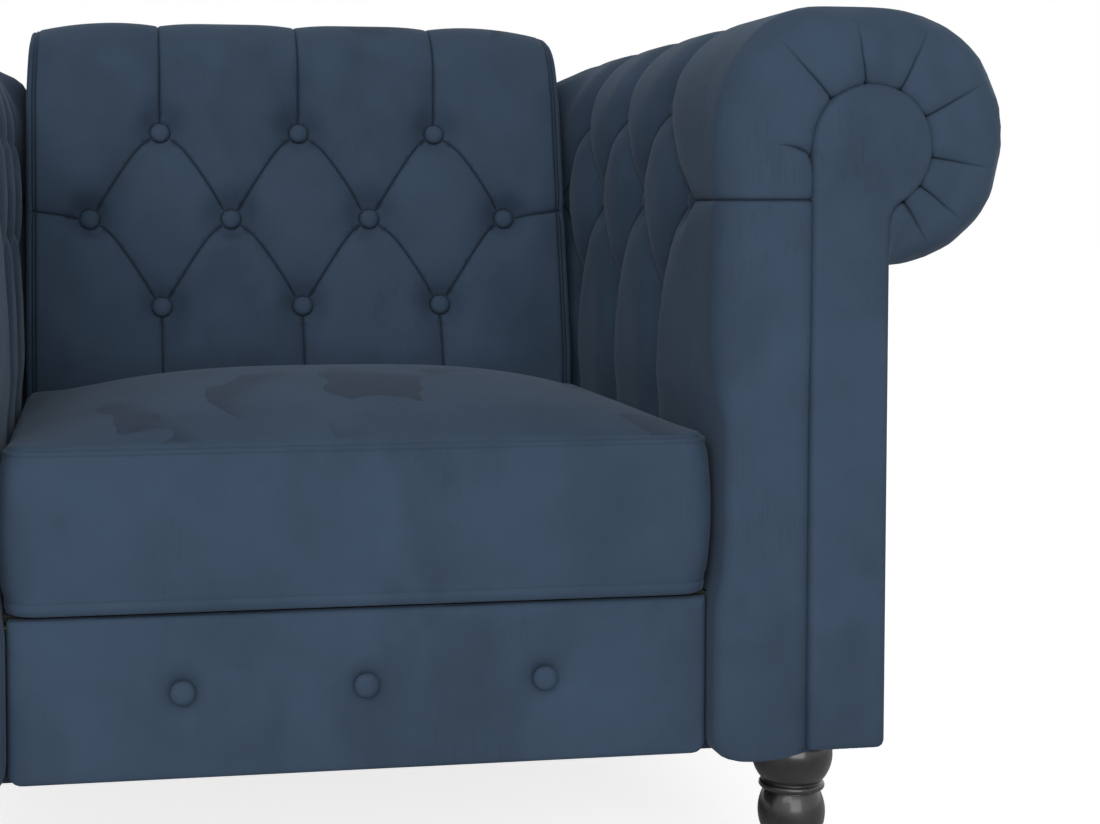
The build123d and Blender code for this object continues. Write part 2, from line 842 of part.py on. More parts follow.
# Zip tape in its slot on the rear boxing, and the slider that runs on it
save(
    block(
        (-zip_length / 2, zip_length / 2),
        (zip_floor, zip_floor + zip_t),
        (zip_z - zip_width / 2, zip_z + zip_width / 2),
    ),
    "zip_tape",
)
slider_y = zip_floor + zip_t + slide_gap
slider_x = -zip_length / 2 + slider_size[0]
with BuildPart() as zip_slider:
    add(
        block(
            (slider_x - slider_size[0] / 2, slider_x + slider_size[0] / 2),
            (slider_y, slider_y + slider_size[1]),
            (zip_z - slider_size[2] / 2, zip_z + slider_size[2] / 2),
        ).part
    )
    chamfer(zip_slider.edges().filter_by(Axis.Y), slider_size[0] / 5)
save(zip_slider, "zip_slider")

# Turned leg: cup, cove, ring, ball and tapered foot
z_cup = leg_height - cup_h
z_ring = z_cup - cove_h
z_ball = z_ring - ring_h
z_foot = z_ball - ball_h
with BuildPart() as leg:
    with BuildSketch(Plane.XZ):
        with BuildLine():
            Polyline((0, leg_height), (leg_top_r, leg_height), (leg_top_r, z_cup))
            ThreePointArc(
                (leg_top_r, z_cup), (cove_r + 1.5, z_ring + cove_h * 0.55), (cove_r, z_ring)
            )
            Polyline((cove_r, z_ring), (ring_r, z_ring), (ring_r, z_ball), (waist_r, z_ball))
            ThreePointArc((waist_r, z_ball), (ball_r, z_ball - ball_h / 2), (waist_r, z_foot))
            Polyline((waist_r, z_foot), (foot_r, glide_h), (0, glide_h), (0, leg_height))
        make_face()
    revolve(axis=Axis.Z)
    with Locations((0, 0, leg_height)):
        Cylinder(
            bolt_r + bolt_clear,
            leg_bolt_down + 1,
            align=(Align.CENTER, Align.CENTER, Align.MAX),
            mode=Mode.SUBTRACT,
        )

leg_places = {
    "front_right": (half + leg_inset, y_front + leg_setback),
    "front_left": (-half - leg_inset, y_front + leg_setback),
    "rear_right": (half + leg_inset, y_rear - leg_setback),
    "rear_left": (-half - leg_inset, y_rear - leg_setback),
}
for name, place in leg_places.items():
    with BuildPart() as one_leg:
        with Locations(place):
            add(leg.part)
    save(one_leg, f"leg_{name}")

with BuildPart() as leg_glides:
    with Locations(*leg_places.values()):
        Cylinder(glide_r, glide_h, align=(Align.CENTER, Align.CENTER, Align.MIN))
save(leg_glides, "leg_glides")

with BuildPart() as leg_plates:
    with BuildSketch(Plane.XY.offset(leg_height)):
        with Locations(*leg_places.values()):
            RectangleRounded(plate_size, plate_size, plate_size / 10)
            Circle(bolt_r + bolt_clear, mode=Mode.SUBTRACT)
    extrude(amount=plate_t)
save(leg_plates, "leg_plates")

# Dust cover over the whole underside, cut out round the plates
with BuildPart() as dust_cover:
    add(block((-x_board, x_board), arm_span, (z_frame - dust_t, z_frame)).part)
    with BuildSketch(Plane.XY.offset(z_frame)):
        with Locations(*leg_places.values()):
            Rectangle(plate_size + 2 * slide_gap, plate_size + 2 * slide_gap)
    extrude(amount=-dust_t, mode=Mode.SUBTRACT)
save(dust_cover, "dust_cover")

with BuildPart() as leg_bolts:
    with BuildSketch(Plane.XY.offset(leg_height - leg_bolt_down)):
        with Locations(*leg_places.values()):
            Circle(bolt_r)
    extrude(amount=leg_bolt_down + plate_t + leg_bolt_up)
save(leg_bolts, "leg_bolts")

with BuildPart() as leg_blocks:
    for x, y in leg_places.values():
        side = 1 if x > 0 else -1
        xs = sorted((side * (x_side + rail_t), side * x_board))
        ys = (y_frame, y_frame + block_len) if y < 0 else (y_rear_board - block_len, y_rear_board)
        add(block(xs, ys, (z_frame, z_frame + block_h)).part)
    with Locations(*[(x, y, z_frame) for x, y in leg_places.values()]):
        Cylinder(
            bolt_r + bolt_clear,
            block_h,
            align=(Align.CENTER, Align.CENTER, Align.MIN),
            mode=Mode.SUBTRACT,
        )
save(leg_blocks, "leg_blocks")
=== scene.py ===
"""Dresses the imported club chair: velvet covers, buttons, stitching, legs, studio light and camera.

Sizes are in millimetres, in the same frame as the solids, until a mesh is made from them.
"""

import json
from math import ceil, cos, hypot, radians, sin, tan

import bpy
import numpy as np
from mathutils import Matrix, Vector
from mathutils.geometry import delaunay_2d_cdt


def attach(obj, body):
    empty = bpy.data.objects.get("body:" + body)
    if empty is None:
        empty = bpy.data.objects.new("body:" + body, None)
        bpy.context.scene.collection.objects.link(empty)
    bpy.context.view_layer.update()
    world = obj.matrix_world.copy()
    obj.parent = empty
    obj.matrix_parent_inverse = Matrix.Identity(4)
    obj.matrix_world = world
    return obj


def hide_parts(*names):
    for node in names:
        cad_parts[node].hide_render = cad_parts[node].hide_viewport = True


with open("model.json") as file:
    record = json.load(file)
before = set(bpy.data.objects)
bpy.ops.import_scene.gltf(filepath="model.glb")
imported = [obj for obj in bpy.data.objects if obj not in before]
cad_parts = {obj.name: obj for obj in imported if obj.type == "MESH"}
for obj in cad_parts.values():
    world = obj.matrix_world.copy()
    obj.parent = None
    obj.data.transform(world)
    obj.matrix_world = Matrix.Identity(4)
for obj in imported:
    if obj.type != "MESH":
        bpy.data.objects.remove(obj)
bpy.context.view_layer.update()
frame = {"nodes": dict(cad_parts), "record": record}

# Sizes in the frame that the solids share
MM = 0.001
sides = ((1, "right"), (-1, "left"))
half = 287.5
y_front = -409.0
y_rail = -385.0
y_frame = -373.0
y_skin = 395.0
y_pad_front = -405.0
y_pad_rear = 405.0
leg_height = 140.0
leg_x = 378.0
leg_y = 345.0
plate_half = 32.4
z_deck = 275.0
x_crest = 288.5
arm_lean = 5.0  # the arm's face leans out this much up to the roll
x_low = 292.5
x_foot = 288.4  # the arm's foot, closed up to the front rail
x_outer = 437.5
x_board = 434.0
x_seam = 369.5
x_roll = 428.0
x_head = 422.0
z_head = 650.0
z_roll = 659.0
z_turn = 659.0
head_r = 52.5
roll_r = 110.0
roll_w = 121.0  # the same, outward
roll_square = 2.25  # 2 would be an ellipse, more is squarer
turn_r = 110.0
turn_w = 90.0  # the same, across
roll_end = 80.0
neck_r = 22.0
tuck_low = 412.0
tuck_high = 446.0
tuft_depth = 27.0
arm_tuft = 17.0
back_tuft = 21.0
tuft_pitch = 149.2
half_pitch = tuft_pitch / 2
arm_row2 = 605.0
arm_row_pitch = 89.0
outer_row = [tuft_pitch * n for n in (-1, 0, 1)]
middle_row = [half_pitch * n for n in (-3, -1, 1, 3)]
arm_columns = [y_rail + 192.0 + tuft_pitch * k for k in range(4)]
button_r = 10.0
button_h = 8.0
button_sink = 2.0
arm_sink = 5.0
back_half = 289.5
back_top = 803.0
back_foot = 278.0
back_y = y_rail + 540.0
back_z = 584.6
back_row_pitch = 94.8
back_places = [(x, 0.0) for x in middle_row]
back_places += [(x, s * back_row_pitch) for x in outer_row for s in (-1, 1)]
rake = radians(12.4)
y_foot = y_rail + 482.0
lip_z = 740.0
rail_top = 273.5
rail_button_z = leg_height + 132.0 * 0.53
cushion_x = 288.0
cushion_y = y_rail - 6.0 + 240.0
cushion_half_y = 240.0
z_cushion = 275.4
z_seam = 406.4
cushion_crown = 44.0
cushion_corner = 26.0
hem_rise = 4.2
cushion_full = 75.0  # the front's fuller corners reach this far back
corner_full = 5.0

# How the velvet lies
fold_width = 0.95  # width of the groove and of the painted dark line in a crease
fold_depth = 1.8
well_flare = 13.0  # how fast a puff rises from a button's well
well_rings = (0.85, 1.05, 1.25, 1.55, 1.95, 2.4)  # rings of points round a button
crease_rise = 2.3  # how steeply a puff comes out of its crease
crease_pitch = 5.0  # points along a crease
crease_rows = (1.0, 2.6, 5.8, 11.0, 18.0)  # rows of points beside it
cover_pitch = 9.0
fine_step = 3.0
coarse_step = 6.0


# Lines and arcs in a plane, sampled about every millimetre
def line(p, q, step=1.0):
    count = max(int(hypot(q[0] - p[0], q[1] - p[1]) / step), 2)
    return np.linspace(p, q, count)


def arc(centre, r, start, end, step=1.0):
    count = max(int(abs(radians(end - start)) * r / step), 3)
    turn = np.radians(np.linspace(start, end, count))
    return np.stack([centre[0] + r * np.cos(turn), centre[1] + r * np.sin(turn)], 1)


def unit(directions):
    return directions / np.linalg.norm(directions, axis=-1, keepdims=True)


def chain(*parts):
    """One run of points from several, without doubles."""
    points = np.vstack(parts)
    keep = np.r_[True, np.linalg.norm(np.diff(points, axis=0), axis=1) > 1e-4]
    return points[keep]


def joined(*parts, step=1.0):
    """Run through points and arcs, with straight lines between them."""
    parts = [np.atleast_2d(part) for part in parts]
    lines = [line(before[-1], after[0], step) for before, after in zip(parts, parts[1:])]
    return chain(parts[0], *[run for between in zip(lines, parts[1:]) for run in between])


def run_length(points):
    return np.r_[0, np.cumsum(np.linalg.norm(np.diff(points, axis=0), axis=1))]


def along(points, places):
    """Points of a run at distances from its start."""
    length = run_length(points)
    return np.stack([np.interp(places, length, points[:, k]) for k in range(points.shape[1])], 1)


def soften(points, width):
    """Rounds the corners of a run and keeps its ends."""
    total = run_length(points)[-1]
    even = along(points, np.arange(0, total, 1.0))
    reach = int(width * 3)
    weights = np.exp(-0.5 * (np.arange(-reach, reach + 1) / width) ** 2)
    weights /= weights.sum()
    before = 2 * even[0] - even[reach:0:-1]
    after = 2 * even[-1] - even[-2 : -reach - 2 : -1]
    long_run = np.vstack([before, even, after])
    columns = [np.convolve(long_run[:, k], weights, "valid") for k in range(points.shape[1])]
    return np.stack(columns, 1)


def fillet_run(points, radii):
    """Run through corners, each rounded with its own radius."""
    points = [np.array(p, float) for p in points]
    parts = [points[0][None]]
    for before, corner, after, r in zip(points, points[1:], points[2:], radii):
        a, b = unit(before - corner), unit(after - corner)
        opening = np.arccos(np.clip(a @ b, -1, 1))
        cut = r / np.tan(opening / 2)
        middle = corner + unit(a + b) * r / np.sin(opening / 2)
        start, end = corner + a * cut - middle, corner + b * cut - middle
        turn = np.pi - opening
        side = np.sign(start[0] * end[1] - start[1] * end[0])
        steps = np.linspace(0, turn, max(int(turn * r), 3)) * side
        across = np.array((-start[1], start[0]))
        parts.append(middle + np.outer(np.cos(steps), start) + np.outer(np.sin(steps), across))
    parts.append(points[-1][None])
    return chain(*parts)


def rectangle(x, low, high):
    return [(-x, low), (x, low), (x, high), (-x, high)]


def left_of(ahead):
    """Unit directions to the left of directions."""
    return unit(np.stack([-ahead[:, 1], ahead[:, 0]], 1))


def ease(value, start, span):
    """0 up to start, 1 from start + span on, and straight between. With a negative span it falls."""
    return np.clip((value - start) / span, 0, 1)


def graded(total, start, end):
    """Distances from 0 to total: close together from start to end, wider elsewhere."""
    x = np.linspace(0, total, int(total) + 1)
    near = (x[:-1] >= start) & (x[:-1] <= end)
    step = np.where(near, fine_step, coarse_step)
    count = np.r_[0, np.cumsum(np.diff(x) / step)]
    return np.interp(np.linspace(0, count[-1], ceil(count[-1]) + 1), count, x)


def run_distance(s, t, points):
    """Distance of each place from a run, and how far along the run the nearest point is, 0 to 1."""
    length = run_length(points)
    best = np.full(s.shape, 1e9)
    where = np.zeros(s.shape)
    for k in range(len(points) - 1):
        p, d = points[k], points[k + 1] - points[k]
        f = np.clip(((s - p[0]) * d[0] + (t - p[1]) * d[1]) / (d @ d), 0, 1)
        gap = np.hypot(s - p[0] - f * d[0], t - p[1] - f * d[1])
        nearer = gap < best
        best = np.where(nearer, gap, best)
        where = np.where(nearer, (length[k] + f * (length[k + 1] - length[k])) / length[-1], where)
    return best, where


# Creases: a run in the spread-out cover, with the share of the full depth, the flare and the shade along it
def arched(top, foot, rise=9.5):
    """Crease from a button to one below it, which leaves the upper one like an arch."""
    f = np.linspace(0, 1, 13)[:, None]
    lift = np.array([[0.0, rise]]) * 6.75 * f * (1 - f) ** 2
    return np.array(top) * (1 - f) + np.array(foot) * f + lift


def crease_field(u, t, creases, wells=()):
    """Share of the puff that is left at each place, how deep a groove and how much painted shade it has,
    and the nearest crease.
    """
    left = np.ones(u.shape)
    fold_and_shade = np.zeros(u.shape)
    nearest = np.full(u.shape, 1e9)
    for points, *words in creases:
        gap, where = run_distance(u, t, np.asarray(points, float))
        share, reach, shade = [np.interp(where, np.linspace(0, 1, len(v)), v) for v in words]
        left *= 1 - share * np.clip(1 - gap / reach, 0, None) ** crease_rise
        # Groove along the crease, with painted shade in it
        fold_and_shade = np.maximum(fold_and_shade, shade * np.exp(-((gap / fold_width) ** 2)))
        nearest = np.minimum(nearest, gap)
    for x, y in wells:
        away = np.hypot(u - x, t - y)
        rise = ease(away, button_r, well_flare)
        left *= rise * (2 - rise)
        # Painted shade under each button and in a dark ring round it
        fold_and_shade = np.where(away < button_r, 0.6, fold_and_shade)
        fold_and_shade = np.maximum(fold_and_shade, 0.85 * np.exp(-(((away - button_r - 0.5) / 1.5) ** 2)))
    return left, fold_and_shade, nearest


def diamond_creases(upper, middle, lower, deep, flare):
    """Creases between the buttons of three rows, each row given as its places along and its height."""
    creases = []
    for top, foot in ((upper, middle), (middle, lower)):
        for a in top[0]:
            for b in foot[0]:
                if abs(abs(a - b) - half_pitch) < 1:
                    creases.append((arched((a, top[1]), (b, foot[1])), deep, flare, (1.0, 1.0)))
    return creases


def spread(columns, rows, creases, wells):
    """Flat triangles over a spread-out cover, with each crease a line of edges."""
    low = np.array([columns[0], rows[0]])
    high = np.array([columns[-1], rows[-1]])

    def inside(points, margin):
        return np.all((points > low + margin) & (points < high - margin), axis=1)

    corners = [low, (high[0], low[1]), high, (low[0], high[1]), low]
    points = [joined(*corners, step=cover_pitch)[:-1]]
    count = len(points[0])
    edges, beside, away = [], [], []
    for run, *_ in creases:
        total = run_length(np.asarray(run, float))[-1]
        run = along(np.asarray(run, float), np.linspace(0, total, ceil(total / crease_pitch) + 1))
        run = run[inside(run, 0.5)]
        points.append(run)
        edges += [(count + k, count + k + 1) for k in range(len(run) - 1)]
        count += len(run)
        side = left_of(np.gradient(run, axis=0))
        for gap in crease_rows:
            beside += [run + side * gap, run - side * gap]
            away.append(np.full(2 * len(run), gap))
    beside, away = np.vstack(beside), np.concatenate(away)
    nearest = crease_field(*beside.T, creases)[2]
    beside = beside[inside(beside, 0.6) & (nearest > away * 0.8)]
    for well in wells:
        beside = beside[np.hypot(*(beside - well).T) > button_r * well_rings[-1]]
    rings = [arc(well, button_r * r, 0, 348, button_r * 0.22 * r) for well in wells for r in well_rings]
    if rings:
        rings = np.vstack(rings)
        near_crease = crease_field(*rings.T, creases)[2]
        beside = np.vstack([beside, rings[inside(rings, 0.6) & (near_crease > 0.7)]])
    beside = beside[np.sort(np.unique(np.round(beside / 1.6), axis=0, return_index=True)[1])]
    open_rows = np.arange(low[1] + cover_pitch / 2, high[1] - 2, cover_pitch * 0.87)
    for k, t in enumerate(open_rows):
        u = np.arange(low[0] + cover_pitch * (0.5 + 0.5 * (k % 2)), high[0] - 2, cover_pitch)
        row = np.stack([u, np.full(len(u), t)], 1)
        points.append(row[crease_field(*row.T, creases)[2] > crease_rows[-1] + 4])
    flat = [Vector(v) for v in np.vstack(points + [beside])]
    spots, _, faces, *_ = delaunay_2d_cdt(flat, edges, [], 0, 0.02)
    return np.array([(v.x, v.y) for v in spots]), np.array([tuple(f) for f in faces])


def on_grid(grid, columns, rows, places):
    """Values of a grid at places between its points."""
    i = np.interp(places[:, 1], rows, np.arange(len(rows)))
    j = np.interp(places[:, 0], columns, np.arange(len(columns)))
    a = np.minimum(i.astype(int), len(rows) - 2)
    b = np.minimum(j.astype(int), len(columns) - 2)
    i, j = (i - a)[:, None], (j - b)[:, None]
    low = grid[a, b] * (1 - j) + grid[a, b + 1] * j
    high = grid[a + 1, b] * (1 - j) + grid[a + 1, b + 1] * j
    return low * (1 - i) + high * i


def tufted(grid, columns, rows, outward, creases, wells, depth):
    """Cover laid over a grid and drawn in along its creases: places on the grid, points, faces, and how
    deep a groove and how much painted shade each point has.
    """
    flat, faces = spread(columns, rows, creases, wells)
    left, fold_and_shade, _ = crease_field(*flat.T, creases, wells)
    place = on_grid(grid, columns, rows, flat)
    out = unit(on_grid(outward, columns, rows, flat))
    moved = place - out * (depth * (1 - left) + fold_depth * fold_and_shade)[:, None]
    corners = place[faces]
    facing_out = np.cross(corners[:, 1] - corners[:, 0], corners[:, 2] - corners[:, 0])
    if (facing_out * out[faces[:, 0]]).sum() < 0:
        faces = faces[:, ::-1]
    return place, moved, faces, fold_and_shade


# Meshes
def new_object(name, points, faces, material, painted_shade=None):
    """Smooth mesh object from points in millimetres."""
    mesh = bpy.data.meshes.new(name)
    mesh.from_pydata((np.asarray(points, float) * MM).tolist(), [], [tuple(f) for f in faces])
    mesh.polygons.foreach_set("use_smooth", np.ones(len(mesh.polygons), bool))
    if painted_shade is not None:
        # Painted shade of creases, seams and button rings, kept as a point attribute for the velvet
        mesh.attributes.new("fold_and_shade", "FLOAT", "POINT").data.foreach_set("value", np.ravel(painted_shade))
    mesh.materials.append(material)
    obj = bpy.data.objects.new(name, mesh)
    bpy.context.collection.objects.link(obj)
    return obj


def grid_faces(rows, columns, wrap=False, keep=None):
    """Quads of a grid of points, those that keep allows."""
    a = np.arange(rows * columns).reshape(rows, columns)
    b = np.roll(a, -1, 1) if wrap else a[:, 1:]
    a = a if wrap else a[:, :-1]
    quads = np.stack([a[:-1], b[:-1], b[1:], a[1:]], -1)
    if keep is not None:
        quads = quads[keep[: rows - 1, : quads.shape[1]]]
    return quads.reshape(-1, 4)


def grid_normals(points):
    across = np.gradient(points, axis=0)
    down = np.gradient(points, axis=1)
    normal = np.cross(across, down)
    return normal / np.maximum(np.linalg.norm(normal, axis=-1, keepdims=True), 1e-9)


def thicken(points, faces, depth):
    """Closed skin: the faces, a second layer under them, and walls along the open edges."""
    count = len(points)
    edges = dict.fromkeys((int(a), int(b)) for face in faces for a, b in zip(face, np.roll(face, -1)))
    walls = [(b, a, a + count, b + count) for a, b in edges if (b, a) not in edges]
    under = [tuple(int(i) + count for i in face[::-1]) for face in faces]
    return np.vstack([points, depth]), [tuple(f) for f in faces] + under + walls


def piece(name, points, faces, slot, nodes, painted_shade=None, body="chair"):
    """Mesh in its finish, on its body, that stands for the solids of some nodes."""
    obj = new_object(name, points, faces, finishes[slot], painted_shade)
    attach(obj, body)
    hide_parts(*nodes)
    return obj


def pair(make, name, node):
    """The same velvet piece on the right and mirrored on the left."""
    points, faces, painted_shade = make()
    for side, label in sides:
        placed = np.array(points) * (side, 1, 1)
        order = faces if side > 0 else [tuple(f)[::-1] for f in faces]
        piece(f"{name}_{label}", placed, order, "velvet", [f"{node}_{label}"], painted_shade)


# Materials
def feed(material, sockets, values):
    """Links each output to its socket, and sets each plain value on its own."""
    for socket, value in zip(sockets, values):
        if isinstance(value, bpy.types.NodeSocket):
            material.node_tree.links.new(value, socket)
        else:
            socket.default_value = value


def drive(material, node, **values):
    """The same for the node's sockets of those names."""
    feed(material, [node.inputs[key.replace("_", " ")] for key in values], values.values())


def add(material, kind):
    return material.node_tree.nodes.new("ShaderNode" + kind)


def new_material(name, **values):
    """Principled material with the given values on its sockets."""
    material = bpy.data.materials.new(name)
    material.use_nodes = True
    shader = material.node_tree.nodes["Principled BSDF"]
    drive(material, shader, **values)
    return material, shader


def texture(material, kind, scale, stretch=(1, 1, 1), turn=(0, 0, 0), bands=None, **values):
    """Noise, Voronoi or wave texture in the chair's own metres."""
    place = add(material, "TexCoord").outputs["Object"]
    mapping = add(material, "Mapping")
    drive(material, mapping, Scale=stretch, Rotation=turn, Vector=place)
    node = add(material, "Tex" + kind)
    if bands:
        node.bands_direction = bands
    drive(material, node, Scale=scale, Vector=mapping.outputs["Vector"], **values)
    return node


def noise(material, scale, *place, **values):
    return texture(material, "Noise", scale, *place, **values).outputs["Fac"]


def ramp(material, value, stops):
    """Colour ramp of grey levels or colours."""
    node = add(material, "ValToRGB")
    while len(node.color_ramp.elements) < len(stops):
        node.color_ramp.elements.new(1.0)
    for element, (place, level) in zip(node.color_ramp.elements, stops):
        element.position = place
        element.color = (*level, 1) if isinstance(level, tuple) else (level, level, level, 1)
    drive(material, node, Fac=value)
    return node.outputs["Color"]


def blend_colours(material, mode, share, a, b):
    node = add(material, "Mix")
    node.data_type = "RGBA"
    node.blend_type = mode
    feed(material, (node.inputs[0], node.inputs[6], node.inputs[7]), (share, a, b))
    return node.outputs[2]


def math_node(material, operation, a, b):
    node = add(material, "Math")
    node.operation = operation
    feed(material, node.inputs, (a, b))
    return node.outputs[0]


def times(material, a, b):
    return math_node(material, "MULTIPLY", a, b)


def less(material, a, b):
    return math_node(material, "SUBTRACT", a, b)


def vector_node(material, operation, *values):
    node = add(material, "VectorMath")
    node.operation = operation
    feed(material, node.inputs, values)
    return node.outputs["Value" if operation == "DOT_PRODUCT" else "Vector"]


def bump(material, shader, height, strength, distance):
    node = add(material, "Bump")
    drive(material, node, Strength=strength, Distance=distance, Height=height)
    drive(material, shader, Normal=node.outputs["Normal"])


def brushed_cells(material, scale, stretch, turn):
    """Wavy cells: a random level for each, the distance from its middle, and a slope across it."""
    cells = texture(material, "Voronoi", scale, stretch, turn)
    plain = cells.inputs["Vector"].links[0].from_socket
    warp = texture(material, "Noise", 9.0, Detail=2.0).outputs["Color"]
    wavy = vector_node(material, "MULTIPLY_ADD", warp, (0.07, 0.07, 0.07), plain)
    drive(material, cells, Vector=wavy)
    local = vector_node(material, "SUBTRACT", wavy, cells.outputs["Position"])
    lean = vector_node(material, "SUBTRACT", cells.outputs["Color"], (0.5, 0.5, 0.5))
    slope = vector_node(material, "DOT_PRODUCT", local, vector_node(material, "NORMALIZE", lean))
    split = add(material, "SeparateColor")
    feed(material, split.inputs, [cells.outputs["Color"]])
    return split.outputs[0], cells.outputs["Distance"], times(material, slope, scale)


def make_velvet():
    """Brushed velvet: tone, crisp nap patches with painted sheen, brush marks, painted shade in creases and
    seams, and a fine pile.
    """
    m, shader = new_material(
        "velvet",
        Sheen_Weight=0.12,
        Sheen_Roughness=0.42,
        Sheen_Tint=(0.62, 0.74, 0.90, 1),
        Specular_IOR_Level=0.15,
    )
    # Nap laid over in crisp patches on top and in clouds on upright faces: the pile's changing sheen is
    # painted in as darker colour, strongest on faces that look up, where it is seen along the pile
    normal = add(m, "NewGeometry").outputs["Normal"]
    upward = vector_node(m, "DOT_PRODUCT", normal, (0, 0, 1))
    level, _, slope = brushed_cells(m, 10.0, (1.1, 0.5, 0.8), (0.1, 0.1, 0.15))
    patch = times(m, ramp(m, level, [(0.5, 1.0), (0.505, 0.0)]), ramp(m, slope, [(0.0, 0.0), (0.2, 1.0)]))
    shade = less(m, 1.0, times(m, patch, ramp(m, upward, [(0.75, 0.0), (0.97, 0.40)])))
    cloud = noise(m, 6.5, (1.2, 1.2, 0.7), Detail=3.0, Roughness=0.6)
    cloud = ramp(m, cloud, [(0.50, 0.0), (0.60, 1.0)])
    shade = less(m, shade, times(m, cloud, ramp(m, upward, [(0.45, 0.13), (0.85, 0.0)])))
    level, distance, slope = brushed_cells(m, 4.6, (1.0, 1.0, 0.8), (0.0, 0.4, 0.9))
    rim = ramp(m, distance, [(0.44, 1.0), (0.46, 0.0)])
    sweep = times(m, rim, ramp(m, slope, [(0.0, 0.0), (0.4, 1.0)]))
    shade = less(m, shade, times(m, sweep, ramp(m, level, [(0.5, 0.035), (0.52, -0.025)])))
    # Long soft tone, mottle, brush streaks and short brush marks
    shade = times(m, shade, ramp(m, noise(m, 4.5, Detail=3.0), [(0.3, 0.93), (0.7, 1.07)]))
    mottle = noise(m, 17.0, Detail=6.0, Roughness=0.62)
    shade = times(m, shade, ramp(m, mottle, [(0.32, 0.91), (0.68, 1.08)]))
    streak = noise(m, 60.0, (5.0, 5.0, 0.7), (0.3, 0.25, 0.0), Detail=4.0)
    shade = times(m, shade, ramp(m, streak, [(0.3, 0.975), (0.7, 1.02)]))
    marks = noise(m, 45.0, (7.0, 7.0, 0.9), (0.35, 0.5, 0.0), Detail=2.0)
    marks = ramp(m, marks, [(0.56, 0.0), (0.66, 0.08)])
    zone = ramp(m, noise(m, 7.0, Detail=1.0), [(0.56, 0.0), (0.66, 1.0)])
    shade = less(m, shade, times(m, marks, zone))
    # Painted shade in creases, seams and round buttons, and a fine pile
    fold_and_shade = add(m, "Attribute")
    fold_and_shade.attribute_name = "fold_and_shade"
    colour = blend_colours(m, "MULTIPLY", 1.0, velvet_colour, shade)
    # Painted shade: the attribute mixes the colour toward a near-black blue
    colour = blend_colours(m, "MIX", times(m, fold_and_shade.outputs["Fac"], 0.9), colour, painted_crease_shade)
    drive(m, shader, Base_Color=colour, Roughness=ramp(m, streak, [(0.3, 0.76), (0.7, 0.92)]))
    pile = noise(m, 900.0, Detail=2.0)
    bump(m, shader, math_node(m, "ADD", pile, times(m, streak, 0.7)), 0.25, 0.0006)
    return m


def two_tone(m, shader, level, dark, light, rough, smooth):
    """Colour and roughness that go with a texture's level."""
    colour = ramp(m, level, [(0.3, dark), (0.7, light)])
    drive(m, shader, Base_Color=colour, Roughness=ramp(m, level, [(0.3, rough), (0.7, smooth)]))


def make_lacquer():
    """Black lacquer over turned wood, with faint grain and wear."""
    m, shader = new_material("black_lacquer", Coat_Weight=0.5, Coat_Roughness=0.14)
    cloud = noise(m, 38.0, Detail=4.0)
    colour = ramp(m, cloud, [(0.3, (0.006, 0.006, 0.007)), (0.7, (0.020, 0.020, 0.021))])
    drive(m, shader, Base_Color=colour, Roughness=ramp(m, cloud, [(0.35, 0.24), (0.65, 0.5)]))
    bump(m, shader, noise(m, 90.0, (1.0, 1.0, 0.12), Detail=5.0), 0.25, 0.0008)
    return m


def make_wood(name, light, dark, stretch):
    """Plain wood with its grain along one axis."""
    m, shader = new_material(name)
    grain = noise(m, 45.0, stretch, Detail=6.0, Distortion=0.6)
    two_tone(m, shader, grain, dark, light, 0.6, 0.8)
    bump(m, shader, grain, 0.3, 0.0006)
    return m


def make_cloth(name, light, dark, scale):
    """Plain woven cloth, from two crossed waves."""
    m, shader = new_material(name, Sheen_Weight=0.15)
    warp, weft = [texture(m, "Wave", scale, bands=axis, Distortion=0.4) for axis in "XY"]
    weave = times(m, warp.outputs["Fac"], weft.outputs["Fac"])
    colour = ramp(m, weave, [(0.0, dark), (0.8, light)])
    drive(m, shader, Base_Color=colour, Roughness=ramp(m, weave, [(0.0, 0.95), (1.0, 0.8)]))
    bump(m, shader, weave, 0.5, 0.0006)
    return m


def make_speckled(name, light, dark, scale, rough, metal=0.0):
    """Foam, board, moulded or plated surface with a fine speckle."""
    m, shader = new_material(name, Metallic=metal)
    grit = noise(m, scale, Detail=4.0)
    two_tone(m, shader, grit, dark, light, rough, rough + 0.15)
    bump(m, shader, grit, 0.2, 0.0004)
    return m


velvet_colour = (0.0436, 0.0713, 0.1138, 1)
# Near-black blue of the painted shade in creases, seams and round buttons
painted_crease_shade = (0.004, 0.007, 0.012, 1)
finishes = {
    "velvet": make_velvet(),
    "leg_wood": make_lacquer(),
    "timber": make_wood("timber", (0.50, 0.34, 0.19), (0.38, 0.24, 0.12), (1.0, 0.15, 1.0)),
    "plywood": make_wood("plywood", (0.58, 0.42, 0.25), (0.44, 0.30, 0.16), (1.0, 1.0, 0.15)),
    "fibreboard": make_speckled("fibreboard", (0.24, 0.15, 0.08), (0.17, 0.10, 0.05), 300.0, 0.7),
    "webbing": make_cloth("webbing", (0.05, 0.042, 0.034), (0.02, 0.017, 0.014), 900.0),
    "black_cloth": make_cloth("black_cloth", (0.012, 0.012, 0.013), (0.004, 0.004, 0.004), 1200.0),
    "foam": make_speckled("foam", (0.72, 0.64, 0.40), (0.60, 0.52, 0.30), 500.0, 0.8),
    "zinc_steel": make_speckled("zinc_steel", (0.62, 0.63, 0.65), (0.45, 0.46, 0.48), 150.0, 0.3, 1.0),
    "nylon": make_speckled("nylon", (0.014, 0.014, 0.014), (0.008, 0.008, 0.008), 400.0, 0.45),
}
for row in frame["record"]["subparts"]:
    mesh = frame["nodes"][row["node"]].data
    mesh.materials.clear()
    mesh.materials.append(finishes[row["material_slot"]])


def raked(z):
    """Where the back's front stands at a height."""
    return back_y + (z - back_z) * tan(rake) - tuft_depth / cos(rake)


